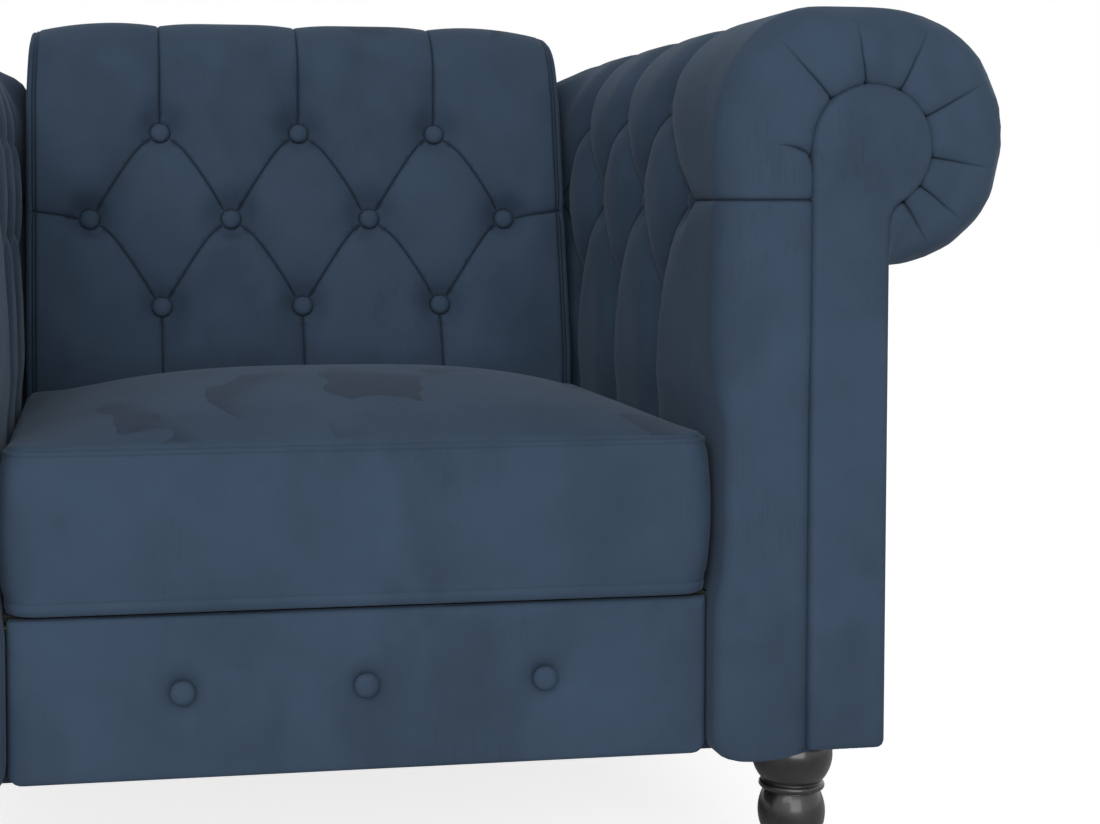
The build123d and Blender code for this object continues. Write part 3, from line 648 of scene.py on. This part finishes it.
# Outline of the keyhole facing, from its foot up the inner side, round the head and down
def keyhole_outline(z_low):
    bend = head_r + neck_r
    drop = (bend**2 - (x_outer + neck_r - x_head) ** 2) ** 0.5
    neck = (x_outer + neck_r, z_head - drop)
    turn = np.degrees(np.arctan2(-drop, x_outer + neck_r - x_head))
    foot = 7.0
    return joined(
        (x_seam, z_low),
        arc((x_head, z_head), head_r, 180, turn),
        arc(neck, neck_r, 180 + turn, 180),
        arc((x_outer - foot, z_low + foot), foot, 0, -90),
    )


# Arm cover
nose_len = 32.0  # how far back the rounding of an arm's end reaches
nose_in = 44.0
low_nose = 11.0  # the same beside the seat
foot_round = 16.0
rear_fall = 19.0  # the roll's rear end falls by this much
rear_long = 150.0  # over this length
foot_sag = 3.0  # the front's lower edge hangs this much below the frame
seam_cover = 5.0  # how far the cover goes in under the facing
pleat_angles = (132.0, 97.0, 63.0, 29.0, -8.0, -38.0, -57.0)  # front pleats round the facing's head
curl_tuck = 440.0


def arm_profile():
    """Crest line of the arm in the X and Z plane, from its foot over the roll to the curl's end."""
    low = leg_height - foot_sag
    roll = arc((0, 0), roll_r, 90, -roll_end) / roll_r
    roll = np.sign(roll) * np.abs(roll) ** (2 / roll_square) * (roll_w, roll_r) + (x_roll, z_roll)
    turn = arc((0, 0), turn_r, 180, 90) * (turn_w / turn_r, 1)
    run = joined(
        (x_seam - 4, low),
        arc((x_foot + foot_round, low + foot_round), foot_round, 270, 180),
        (x_foot, rail_top - 8),
        (x_low, rail_top + 8),
        (x_low, tuck_low),
        (x_crest, tuck_high),
        turn + (x_crest + arm_lean + turn_w, z_turn),
        roll,
        (curl_tuck, roll[-1, 1]),
    )
    return soften(run, 7.0)


def facing_seam(points):
    """Where the cover meets the facing, for each point of the arm's profile."""
    seam = keyhole_outline(leg_height)
    level = np.stack([np.full(len(points), x_seam), points[:, 1]], 1)
    angle = np.degrees(np.arctan2(points[:, 1] - z_head, points[:, 0] - x_head))
    past_top = np.maximum.accumulate(points[:, 1]) >= z_head
    angle = np.where((angle < -90) & past_top, angle + 360, angle)
    turn = np.radians(angle)
    round_head = np.stack([x_head + head_r * np.cos(turn), z_head + head_r * np.sin(turn)], 1)
    result = np.where(past_top[:, None], round_head, level)
    # Past the neck the seam runs down the stem, in step with the curl's end
    late = past_top & (angle < -59.0) & (points[:, 0] > x_head)
    first = int(np.argmax(late))
    length = run_length(seam)
    start = length[np.argmin(np.hypot(*(seam - result[first - 1]).T))]
    stop = length[np.argmin(np.hypot(seam[:, 0] - x_outer, seam[:, 1] - points[-1, 1] - 3))]
    share = run_length(points[first - 1 :]) / run_length(points[first - 1 :])[-1]
    result[first - 1 :] = along(seam, start + (stop - start) * share)
    return result, angle, past_top


def arm_surface():
    """Arm without its creases: a grid of points, its columns, its rows, and the angle of each row."""
    profile = arm_profile()
    zero = run_length(profile)[np.argmax(profile[:, 1] >= arm_row2)]
    places = graded(run_length(profile)[-1], zero - 190, zero + 230)
    p = along(profile, places)
    k, angle, past_top = facing_seam(p)
    inward = k - p
    reach = np.maximum(np.linalg.norm(inward, axis=1, keepdims=True), 1e-6)
    inward /= reach
    reach = reach + seam_cover

    # Body of the arm, then the nose and the face of each end
    y_body = y_pad_front + nose_len + graded(y_pad_rear - y_pad_front - 2 * nose_len, 0, 560)
    turns = np.radians(np.linspace(0, 90, 11))[1:]
    face = np.linspace(0, 1, 15)[1:]
    full = np.where(past_top, 1, ease(p[:, 1], tuck_low, 80))[:, None]
    deep = np.minimum(low_nose + (nose_in - low_nose) * full, reach * 0.55)
    long = (low_nose + (nose_len - low_nose) * full)[:, 0]
    rear_share = np.where(past_top, 1, ease(p[:, 1], tuck_low, 100))[:, None]
    lift = np.clip(leg_height + 5 - p[:, 1], 0, None)

    def end_rows(y_end, sign, share):
        rows = []
        for turn in turns:
            spot = p + inward * deep * share * (1 - np.cos(turn))
            rows.append((spot, y_end - sign * long * (1 - np.sin(turn))))
        for f in face:
            spot = p + inward * share * (deep + (reach - deep) * f)
            spot[:, 1] += lift * f**3
            puff = 3.0 * sin(np.pi * f) - 10.0 * max((f - 0.84) / 0.16, 0) ** 1.5
            rows.append((spot, np.full(len(p), y_end + sign * puff)))
        return rows

    front = end_rows(y_pad_front, -1, np.ones((len(p), 1)))[::-1]
    rear = end_rows(y_pad_rear, 1, rear_share)
    rows = front + [(p, y) for y in y_body] + rear
    grid = np.stack([np.column_stack([q[:, 0], np.full(len(q), y), q[:, 1]]) for q, y in rows], 1)
    run = np.cumsum(np.linalg.norm(np.diff(grid, axis=1), axis=2).mean(0))
    columns = np.r_[0, run]
    columns += y_body[0] - columns[len(front)]
    outward = grid_normals(grid)
    middle = np.column_stack([inward[:, 0], np.zeros(len(p)), inward[:, 1]])
    outward *= -np.sign((outward[:, len(front) + 5] * middle).sum(1).mean())
    return grid, columns, places - zero, outward, np.where(past_top, angle, 999.0)


def arm_creases(columns, rows, angle, t_deck):
    """Diamond creases, pleats over the roll and down to the seat, and pleats gathered at the facing."""
    upper, lower = arm_row_pitch, -arm_row_pitch
    middle = [y - half_pitch for y in arm_columns] + [arm_columns[-1] + half_pitch]
    deep = (1.0, 0.84, 0.74, 0.70, 0.74, 0.84, 1.0)
    flare = (46.0, 50.0, 52.0, 50.0, 46.0)
    creases = diamond_creases((arm_columns, upper), (middle, 0.0), (arm_columns, lower), deep, flare)
    for y in arm_columns:
        over = [(y, upper + d) for d in (0, 60, 120, 200, 300, 420, 520)]
        share = (1.0, 0.78, 0.58, 0.38, 0.22, 0.08, 0.0)
        creases.append((over, share, (46.0, 54.0, 60.0, 64.0), (1.0, 0.8, 0.4, 0.15, 0.0, 0.0, 0.0)))
        down = [(y, lower), (y, lower - 200)]
        creases.append((down, (1.0, 0.76, 0.56, 0.4), (46.0, 52.0, 52.0), (1.0, 1.0, 0.8)))
    seam, body = columns[0], y_pad_front + nose_len
    level = [(middle[0], 0.0), (seam, 0.0)]
    creases.append((level, (1.0, 0.42, 0.14, 0.1, 0.1), (40.0, 18.0, 10.0, 9.0), (1.0, 1.0)))
    inner_end = seam + (body - seam) * 0.73
    fade = (0.26, 0.23, 0.15, 0.0)
    shade = (1.0, 1.0, 0.7, 0.0)
    for degrees in pleat_angles:
        at = rows[np.argmin(np.abs(angle - degrees))]
        creases.append(([(seam, at), (inner_end, at)], fade, (26.0, 22.0), shade))
    bend = [(seam + d, z - arm_row2) for d, z in ((0, 637), (18, 645), (36, 650), (52, 652))]
    creases.append((bend, fade, (20.0, 16.0), shade))
    # Edge of the part that is left out where the seat's frame stands
    still = ((0.0, 0.0), (1.0, 1.0), (0.0, 0.0))
    creases.append(([(y_frame, t_deck), (columns[-1], t_deck)], *still))
    creases.append(([(y_frame, rows[0]), (y_frame, t_deck)], *still))
    return creases


def arm_cover():
    grid, columns, rows, outward, angle = arm_surface()
    t_deck = np.interp(z_deck + 1, grid[: len(rows) // 3, len(columns) // 2, 2], rows[: len(rows) // 3])
    creases = arm_creases(columns, rows, angle, t_deck)
    place, moved, faces, fold_and_shade = tufted(grid, columns, rows, outward, creases, [], arm_tuft)

    x, y, z = moved.T
    # Filled out to the back's side
    beside = ease(y, np.maximum(raked(z), y_foot) + 12, 45)
    beside *= ease(z, back_top - 40, -40) * ease(z, z_deck, 40)
    x += (back_half + 1.5 - x) * beside**2 * (3 - 2 * beside) * ease(x, x_seam, -50)
    # The roll's rear end falls, and the face gives way to the cushion's fuller corners
    z -= rear_fall * ease(y, y_pad_rear - rear_long, rear_long) ** 2 * ease(z, 690, 80)
    front = ease(y, y_rail + cushion_full, -cushion_full)
    x += corner_full * front * ease(z, tuck_high + 40, -60) * ease(z, z_deck + 5, 40) * ease(x, x_seam, -50)
    # Level behind the front's lower edge, with the foot drawn up to the facing
    z += np.clip(leg_height + 0.5 - z, 0, None) * ease(y, -394, 8)
    z += np.clip(leg_height + 5 - z, 0, None) * ease(x, x_seam - 50, 50) ** 2
    left_out = (place[:, 2] < z_deck + 1.2) & (place[:, 1] > y_frame - 0.2)
    faces = faces[~left_out[faces].all(axis=1)]
    return moved, faces, fold_and_shade


pair(arm_cover, "arm_cover", "arm_pad")


# Back cover
gusset_nose = 8.0
end_lean = 4.0
end_fall = 11.0  # the top's ends lie this much lower


def back_profile():
    """Crest line of the back in the Y and Z plane, from its foot over the top to the rear lip."""
    z_knee = back_z + (y_foot - raked(back_z)) / tan(rake)
    return fillet_run(
        [
            (y_foot, back_foot),
            (y_foot, z_knee),
            (raked(back_top), back_top),
            (y_pad_rear, back_top - 8.0),
            (y_pad_rear, lip_z),
        ],
        (60.0, 66.0, 30.0),
    )


def back_surface():
    """Back without its creases: a grid of points, its columns, its rows and the outward directions."""
    profile = along(back_profile(), np.arange(0, run_length(back_profile())[-1], 1.0))
    crest = (back_y - tuft_depth * cos(rake), back_z + tuft_depth * sin(rake))
    zero = run_length(profile)[np.argmin(np.hypot(*(profile - crest).T))]
    places = graded(run_length(profile)[-1], 50, zero + 260)
    p = along(profile, places)
    spine = line((y_foot + 70, back_foot), (y_pad_rear - 14, z_head - 10))
    inward = np.array([spine[np.argmin(np.hypot(*(spine - q).T))] for q in p]) - p
    reach = np.linalg.norm(inward, axis=1, keepdims=True)
    inward /= reach

    x_body = np.linspace(gusset_nose - back_half, back_half - gusset_nose, 180)
    turns = np.radians(np.linspace(0, 90, 8))[1:]
    rows = []
    for a in turns:
        rows.append((p + inward * gusset_nose * (1 - np.cos(a)), back_half - gusset_nose * (1 - np.sin(a))))
    for f in np.linspace(0, 1, 9)[1:]:
        rows.append((p + inward * (gusset_nose + (reach - gusset_nose) * f), back_half))
    rows = [(q, -x) for q, x in rows[::-1]] + [(p, x) for x in x_body] + rows
    grid = np.stack([np.column_stack([np.full(len(q), x), q]) for q, x in rows], 1)
    run = np.cumsum(np.linalg.norm(np.diff(grid, axis=1), axis=2).mean(0))
    columns = np.r_[0, run] - run[-1] / 2
    outward = grid_normals(grid)
    outward *= -np.sign(outward[len(p) // 3, len(columns) // 2, 1])
    t = places - zero
    ends = ease(np.abs(grid[..., 0]), 190, 95) ** 2 * ease(t[:, None], 130, 90)
    upward = np.clip(outward[:, len(columns) // 2, 2], 0, 1)[:, None]
    grid[..., 2] -= end_fall * ends * upward
    grid[..., 0] -= np.sign(grid[..., 0]) * end_lean * ends
    return grid, columns, t, outward


def back_creases(columns, rows):
    """Diamond creases, uprights over the top and to the seat, level ones to the gussets, and hems."""
    upper, lower = back_row_pitch, -back_row_pitch
    deep = (1.0, 0.56, 0.40, 0.34, 0.40, 0.56, 1.0)
    flare = (40.0, 46.0, 50.0, 46.0, 40.0)
    creases = diamond_creases((outer_row, upper), (middle_row, 0.0), (outer_row, lower), deep, flare)
    for x in outer_row:
        over = [(x, upper), (x, upper + 80), (x, upper + 160), (x, upper + 420)]
        share = (1.0, 0.32, 0.17, 0.12, 0.09, 0.05, 0.0)
        creases.append((over, share, (40.0, 48.0, 62.0, 68.0), (1.0, 1.0, 0.8, 0.4, 0.0)))
        down = [(x, lower), (x, lower - 240)]
        creases.append((down, (1.0, 0.32, 0.24, 0.2), (40.0, 48.0, 52.0), (1.0, 1.0)))
    edge = back_half - gusset_nose + gusset_nose * 0.5
    for side in (-1, 1):
        level = [(side * middle_row[-1], 0.0), (side * (edge - 20), 3.0), (side * edge, 6.0)]
        creases.append((level, (1.0, 0.42, 0.24, 0.2), (40.0, 24.0, 18.0), (1.0, 1.0)))
        # Hem lines: a shallow groove with a painted dark line that fades out over the top
        for hem in (edge - 5.5, edge - 2.0):
            run = [(side * hem, rows[0]), (side * hem, rows[-1])]
            creases.append((run, (0.05, 0.05), (2.6, 2.6), (0.9, 0.9, 0.9, 0.9, 0.9, 0.3, 0.0, 0.0)))
    return creases


def back_cover():
    grid, columns, rows, outward = back_surface()
    creases = back_creases(columns, rows)
    _, moved, faces, fold_and_shade = tufted(grid, columns, rows, outward, creases, back_places, back_tuft)
    piece("back_cover", moved, faces, "velvet", ["back_pad"], fold_and_shade)


back_cover()


# Flat padded panels: an outline, filled, with a rounded rim and a crown
def panel(outline, thickness, rim, crown, spacing=9.0, dimples=()):
    """Points as across, up and out of the panel, its faces and the painted shade round its dimples."""
    closed = np.vstack([outline, outline[:1]])
    ring = along(closed, np.arange(0, run_length(closed)[-1] - 2, 4.0))
    closed = np.vstack([ring, ring[:1]])
    ahead = np.roll(ring, -1, 0) - np.roll(ring, 1, 0)
    area = np.sum(ring[:, 0] * np.roll(ring[:, 1], -1) - np.roll(ring[:, 0], -1) * ring[:, 1])
    side = left_of(ahead) * np.sign(area)
    spans = [np.arange(a + 1, b, spacing) for a, b in zip(ring.min(0), ring.max(0))]
    inner = [np.stack(np.meshgrid(*spans), -1).reshape(-1, 2)]
    inner += [ring + side * rim * depth for depth in (0.12, 0.35, 0.65, 1.0, 1.5)]
    for dimple in dimples:
        for r in np.multiply(button_r, (0.6, 1.1, 1.6, 2.2, 3.0)):
            inner.append(arc(dimple, r, 0, 345, step=max(r / 6, 2.0)))
    inner = np.vstack(inner)
    inner = inner[run_distance(*inner.T, closed)[0] > rim * 0.1]
    spots = [Vector(v) for v in np.vstack([ring, inner])]
    spots, _, tris, *_ = delaunay_2d_cdt(spots, [], [list(range(len(ring)))], 1, 0.05)
    flat = np.array([(v.x, v.y) for v in spots])
    gap, _ = run_distance(*flat.T, closed)
    out = thickness - rim + rim * np.sqrt(np.clip(1 - (1 - np.clip(gap / rim, 0, 1)) ** 2, 0, 1))
    out += crown * (1 - np.exp(-gap / 40.0))
    painted_shade = np.zeros(len(flat))
    for x, z in dimples:
        away = np.hypot(flat[:, 0] - x, flat[:, 1] - z)
        out -= 7.0 * np.exp(-((away / 15.0) ** 2)) + 2.5 * np.exp(-((away / 38.0) ** 2))
        # Painted shade in each dimple
        painted_shade = np.maximum(painted_shade, 0.5 * np.exp(-((away / 12.0) ** 2)))
    top = np.column_stack([flat, out])
    points, faces = thicken(top, tris, top * (1, 1, 0))
    return points, faces, np.r_[painted_shade, painted_shade]


def facing():
    points, faces, painted_shade = panel(keyhole_outline(leg_height + 4), 18.0, 6.0, 0.0)
    return np.column_stack([points[:, 0], y_front + 18.0 - points[:, 2], points[:, 1]]), faces, painted_shade


pair(facing, "facing", "arm_facing")


def outer_arm():
    top = z_roll - 76.0 * sin(radians(roll_end)) - 3.0
    front, low = y_pad_front + 14, leg_height + 2
    shape = [(front, low), (y_skin, low), (y_skin, top), (front, top), (front, low + 2)]
    points, faces, painted_shade = panel(shape, 3.5, 2.5, 1.5, 16.0)
    return np.column_stack([x_board + points[:, 2], points[:, 0], points[:, 1]]), faces, painted_shade


pair(outer_arm, "outer_arm", "arm_outer_panel")


def outer_back():
    """Rear panel: full width under the rolls, round ears on them, and up between the arms."""
    ear = np.degrees(np.arcsin((x_outer - x_head) / head_r))
    lip = lip_z - 0.25
    right = joined(
        (0, leg_height),
        (x_outer, leg_height),
        arc((x_head, z_head), head_r, ear - 90, 180),
        (back_half, z_head),
        (back_half, lip),
        (0, lip),
    )
    shape = chain(right, (right * (-1, 1))[::-1])
    points, faces, painted_shade = panel(shape, 14.0, 5.0, 0.0, 16.0)
    faces = [f[::-1] for f in faces]
    placed = np.column_stack([points[:, 0], y_skin + points[:, 2], points[:, 1]])
    piece("outer_back_cover", placed, faces, "velvet", ["outer_back"], painted_shade)


outer_back()


def rail():
    """Front rail's pad, over a cover that goes on behind the arms and is darkened there with painted shade.
    """
    corner = 11.0
    rail_lap = 20.0
    x = half - 0.25
    shape = joined(
        arc((x - corner, leg_height + corner), corner, -90, 0),
        (x, rail_top),
        (-x, rail_top),
        arc((corner - x, leg_height + corner), corner, 180, 270),
        (x - corner, leg_height),
    )
    spots = [(x, rail_button_z) for x in outer_row]
    points, faces, painted_shade = panel(shape, 12.0, 5.0, 0.0, 8.0, spots)
    strip = rectangle(x + rail_lap, leg_height + 1.5, rail_top - 8)
    under, under_faces, under_shade = panel(strip, 0.6, 0.3, 0.0, 12.0)
    faces += [tuple(i + len(points) for i in f) for f in under_faces]
    # The cover behind the arms is darkened with painted shade
    points, painted_shade = np.vstack([points, under]), np.r_[painted_shade, under_shade + 0.6]
    placed = np.column_stack([points[:, 0], y_frame - points[:, 2], points[:, 1]])
    piece("rail_pad", placed, faces, "velvet", ["rail_cover"], painted_shade)


rail()


# Pad on the webbing under the cushion
def deck():
    y_end = 237.0
    thick = 5.0
    points, faces, _ = panel(rectangle(x_low - 0.5, y_frame, y_end), thick, 2.0, 0.0, 16.0)
    points += (0, 0, z_deck - thick)
    piece("deck_pad", points, faces, "black_cloth", ["seat_deck"])


deck()


# Cloth tacked under the frame, cut out round the leg plates
def dust_cloth():
    y_end = 377.0
    border_x, border_y = [
        [s * place + e * plate_half for s in (-1, 1) for e in (-1, 1)] for place in (leg_x, leg_y)
    ]
    x = np.unique(np.r_[np.linspace(-x_board, x_board, 60), border_x])
    y = np.unique(np.r_[np.linspace(y_frame, y_end, 52), np.clip(border_y, y_frame, y_end)])
    grid_x, grid_y = np.meshgrid(x, y)
    middle_x, middle_y = (x[:-1] + x[1:]) / 2, (y[:-1] + y[1:]) / 2
    clear_x = np.abs(np.abs(middle_x) - leg_x) > plate_half
    clear_y = np.abs(np.abs(middle_y) - leg_y) > plate_half
    keep = clear_x | clear_y[:, None]
    sag = 1.5 * np.clip(1 - (grid_x / 300) ** 2, 0, 1) * np.clip(1 - ((grid_y - 2) / 340) ** 2, 0, 1)
    top = np.stack([grid_x, grid_y, leg_height + 1.9 - sag], -1).reshape(-1, 3)
    points, faces = thicken(top, grid_faces(len(y), len(x), keep=keep), top - (0, 0, 0.8))
    obj = piece("dust_cloth", points, faces, "black_cloth", ["dust_cover"])


dust_cloth()


def turned(profile, spans, centre, out, side):
    """Shape turned round an axis, from radius and height at each ring, and closed at both ends."""
    other = np.cross(out, side)
    turns = np.linspace(0, 2 * np.pi, spans, endpoint=False)
    around = [np.multiply(side, cos(a)) + other * sin(a) for a in turns]
    points = [np.array(centre) + np.multiply(out, h) + a * r for r, h in profile for a in around]
    faces = list(grid_faces(len(profile), spans, wrap=True))
    faces.append(range(len(points) - spans, len(points)))
    faces.append(range(spans)[::-1])
    return points, faces


# Turned legs: bowl, bead, ball and tapered foot, as radius and height
def leg_profile():
    bowl = arc((0.0, 127.0), 35.0, -2, -42)
    bead = arc((25.0, 99.0), 3.4, 85, -85)
    ball = arc((-10.1, 75.5), 39.1, 30.8, -30.8)
    return chain(
        [(9.0, leg_height - 0.3), (33.0, leg_height - 0.3), (34.6, leg_height - 2.0)],
        bowl,
        bead,
        ball,
        line((23.5, 55.0), (15.6, 6.0), 6.0),
        [(15.0, 4.6), (14.0, 4.1), (2.0, 4.1)],
    )


for end, y in (("front", -leg_y), ("rear", leg_y)):
    for side, label in sides:
        points, faces = turned(leg_profile()[::-1], 56, (side * leg_x, y, 0), (0, 0, 1), (1, 0, 0))
        piece(f"turned_leg_{end}_{label}", points, faces, "leg_wood", [f"leg_{end}_{label}"])


# Covered buttons: the radius and height of each ring of a domed cap, and one mesh for each set
button_rings = [(8.6, -1.0), (9.4, 0.6), (9.9, 1.8), (10.0, 3.2), (9.5, 4.7), (8.1, 6.1)]
button_rings += [(5.9, 7.2), (3.4, 7.8), (1.1, 8.0)]


def buttons(name, node, places):
    """Buttons at places given as centre, outward direction and a side direction."""
    points, faces = [], []
    for place in places:
        button, button_faces = turned(button_rings, 28, *place)
        faces += [[i + len(points) for i in face] for face in button_faces]
        points += button
    piece(name, points, faces, "velvet", [node], np.zeros(len(points)))


back_out = np.array((0, -cos(rake), sin(rake)))
back_up = np.array((0, sin(rake), cos(rake)))
back_rise = tuft_depth - back_tuft - button_sink
lift = back_out * back_rise
spots = [((x, back_y, back_z) + back_up * v + lift, back_out, (1, 0, 0)) for x, v in back_places]
buttons("back_button_caps", "back_buttons", spots)
y_button = y_rail + button_h - button_sink
spots = [((x, y_button, rail_button_z), (0, -1, 0), (1, 0, 0)) for x in outer_row]
buttons("rail_button_caps", "rail_buttons", spots)


def arm_button_places(side):
    inner_r = turn_r - arm_tuft
    places = []
    rows = [(y, arm_row2 + s * arm_row_pitch) for y in arm_columns[:3] for s in (-1, 1)]
    rows += [(y - half_pitch, arm_row2) for y in arm_columns[:3]]
    for y, z in rows:
        turn = np.arcsin(max(z - z_turn, 0) / inner_r)
        out = np.array((-cos(turn), 0, sin(turn)))
        face = x_crest + arm_tuft + arm_lean * min((z - tuck_high) / (z_turn - tuck_high), 1.0)
        face += (turn_w - arm_tuft) * (1 - cos(turn))
        centre = np.array((face, y, z)) - out * arm_sink
        places.append((centre * (side, 1, 1), out * (side, 1, 1), (0, 1, 0)))
    return places


for side, label in sides:
    buttons(f"arm_button_caps_{label}", f"arm_buttons_{label}", arm_button_places(side))


# Seat cushion: rings from the middle of its underside, up the boxing, to the middle of its crown
zip_z = 340.9  # slot of the zip in the rear boxing
zip_half = 8.0
zip_long = 212.0
zip_floor = 83.2


def cushion_ring(grow, corner, count):
    """Rounded rectangle round the cushion's middle, evenly divided."""
    x, y = cushion_x + grow, cushion_half_y + grow
    r = max(corner, 2.0)
    run = joined(
        (0, -y),
        arc((x - r, r - y), r, -90, 0),
        arc((x - r, y - r), r, 0, 90),
        arc((r - x, y - r), r, 90, 180),
        arc((r - x, r - y), r, 180, 270),
        (0, -y),
    )
    total = run_length(run)[-1]
    return along(run, np.linspace(0, total, count, endpoint=False))


def cushion_rows():
    """Each ring as how far in it lies, its height, and how much of a seam it is."""
    inset = 200.0
    rows = [(-way_in, z_cushion, 0.0) for way_in in (inset, 120.0, 50.0, 20.0)]
    rows += [(-6.0, z_cushion + 0.6, 0.0), (-2.5, z_cushion + 2.6, 0.0)]
    low_seam, high_seam = z_cushion + 9.0, z_seam
    seam_profile = [(-6, 0), (-4, 0), (-2.6, 1), (-1.3, 0), (0, 0), (1.3, 0), (2.6, 1), (4, 0), (6, 0)]

    def bulge(z):
        f = (z - low_seam) / (high_seam - low_seam)
        return -1.5 + 4.3 * sin(np.pi * np.clip(f, 0, 1)) ** 0.8

    rows += [(bulge(low_seam), low_seam + d, s) for d, s in seam_profile[3:]]
    slot = [zip_z + s * (zip_half + d) for s in (-1, 1) for d in (-0.2, 1.5)]
    for z in np.sort(np.r_[np.linspace(low_seam + 12, high_seam - 10, 18), slot]):
        rows.append((bulge(z), z, 0.0))
    rows += [(bulge(high_seam), high_seam + d, s) for d, s in seam_profile[:5]]
    for d, s in seam_profile[5:]:
        rows.append((bulge(high_seam) - d * 0.8, high_seam + d * 0.7, s))
    for f in np.linspace(0.02, 1, 46):
        rows.append((bulge(high_seam) - 6 * 0.8 - (inset - 7) * f, high_seam + hem_rise, 0.0))
    return rows


def crown(ring):
    """How far the crown rises over its hem at each point of a ring."""
    across = np.clip(1 - np.abs(ring[:, 0] / (cushion_x - 6)) ** 3, 0, 1)
    deep = np.clip(1 - np.abs(ring[:, 1] / (cushion_half_y - 6)) ** 2, 0, 1)
    return (cushion_crown - hem_rise) * across * deep**0.75


def cushion():
    count = 420
    rows = cushion_rows()
    points = []
    for grow, z, seam in rows:
        ring = cushion_ring(grow - 0.7 * seam, cushion_corner + grow * 0.35, count)
        height = z + crown(ring) if z > z_seam + hem_rise - 0.1 else np.full(count, z)
        front = ease(ring[:, 1], cushion_full - cushion_half_y, -cushion_full)
        ring[:, 0] *= 1 + corner_full / cushion_x * front
        ring[:, 1] += cushion_y
        if abs(z - zip_z) < zip_half:
            slot = ease(np.abs(ring[:, 0]), zip_long + 5, -5) * (ring[:, 1] > zip_floor)
            ring[:, 1] += (zip_floor - ring[:, 1]) * slot
        points.append(np.column_stack([ring, height]))
    # Painted shade along the grooves of the seams
    painted_shade = np.repeat([r[2] * 0.16 for r in rows], count)
    faces = list(grid_faces(len(rows), count, wrap=True))
    # The middles of the underside and of the crown are closed with fans
    last = (len(rows) - 1) * count
    middle = len(rows) * count
    faces += [((n + 1) % count, n, middle) for n in range(count)]
    faces += [(last + n, last + (n + 1) % count, middle + 1) for n in range(count)]
    points.append([(0, cushion_y, z_cushion), (0, cushion_y, z_seam + cushion_crown)])
    points, painted_shade = np.vstack(points), np.r_[painted_shade, 0, 0]
    piece("seat_cushion_cover", points, faces, "velvet", ["cushion_cover"], painted_shade, "seat_cushion")


cushion()


# Camera at the photograph's place, lamps, white surroundings and floor
def studio():
    scene = bpy.context.scene
    scene.view_settings.view_transform = "Standard"
    lens = bpy.data.cameras.new("camera")
    lens.lens = 62.87
    lens.sensor_width = 36.0
    lens.sensor_fit = "HORIZONTAL"
    lens.shift_x = 0.1041
    lens.shift_y = -0.1089
    camera = bpy.data.objects.new("camera", lens)
    camera.location = (-0.2070, -1.9215, 0.6032)
    camera.rotation_euler = (radians(90 - 2.65), 0, radians(-9.73))
    scene.collection.objects.link(camera)
    scene.camera = camera

    def lamp(name, place, aim, size, power):
        data = bpy.data.lights.new(name, "AREA")
        data.shape = "RECTANGLE"
        data.size, data.size_y = size
        data.energy = power
        obj = bpy.data.objects.new(name, data)
        obj.location = place
        obj.rotation_euler = (Vector(aim) - Vector(place)).to_track_quat("-Z", "Y").to_euler()
        scene.collection.objects.link(obj)

    lamp("left", (-2.6, -4.2, 3.6), (0, 0, 0.45), (3.2, 2.6), 74)
    lamp("front", (0.0, -6.0, 1.7), (0, 0, 0.45), (4.0, 3.2), 132)
    lamp("high", (0.0, -4.0, 4.6), (0, 0, 0.45), (3.8, 2.9), 10)

    world = bpy.data.worlds.new("studio")
    world.use_nodes = True
    nodes = world.node_tree.nodes
    light, shown = nodes["Background"], add(world, "Background")
    for background, strength in ((light, 0.28), (shown, 1.0)):
        drive(world, background, Color=(1, 1, 1, 1), Strength=strength)
    # Whatever the camera sees, also by a reflection, is white
    ray = add(world, "LightPath")
    seen = ray.outputs["Is Camera Ray"]
    for kind in ("Is Glossy Ray", "Is Transmission Ray"):
        seen = math_node(world, "MAXIMUM", seen, ray.outputs[kind])
    choose = add(world, "MixShader")
    feed(world, choose.inputs, (seen, light.outputs[0], shown.outputs[0]))
    drive(world, nodes["World Output"], Surface=choose.outputs[0])
    scene.world = world

    finish, shader = new_material("studio_floor", Roughness=0.9, Emission_Color=(1, 1, 1, 1))
    tone = ramp(finish, noise(finish, 3.0), [(0.3, 0.86), (0.7, 0.88)])
    glow = times(finish, add(finish, "LightPath").outputs["Is Camera Ray"], 0.76)
    drive(finish, shader, Base_Color=tone, Emission_Strength=glow)
    reach = 12000.0
    corners = [(x, y, 0) for x, y in rectangle(reach, -reach, reach)]
    new_object("studio_floor", corners, [(0, 1, 2, 3)], finish)


studio()
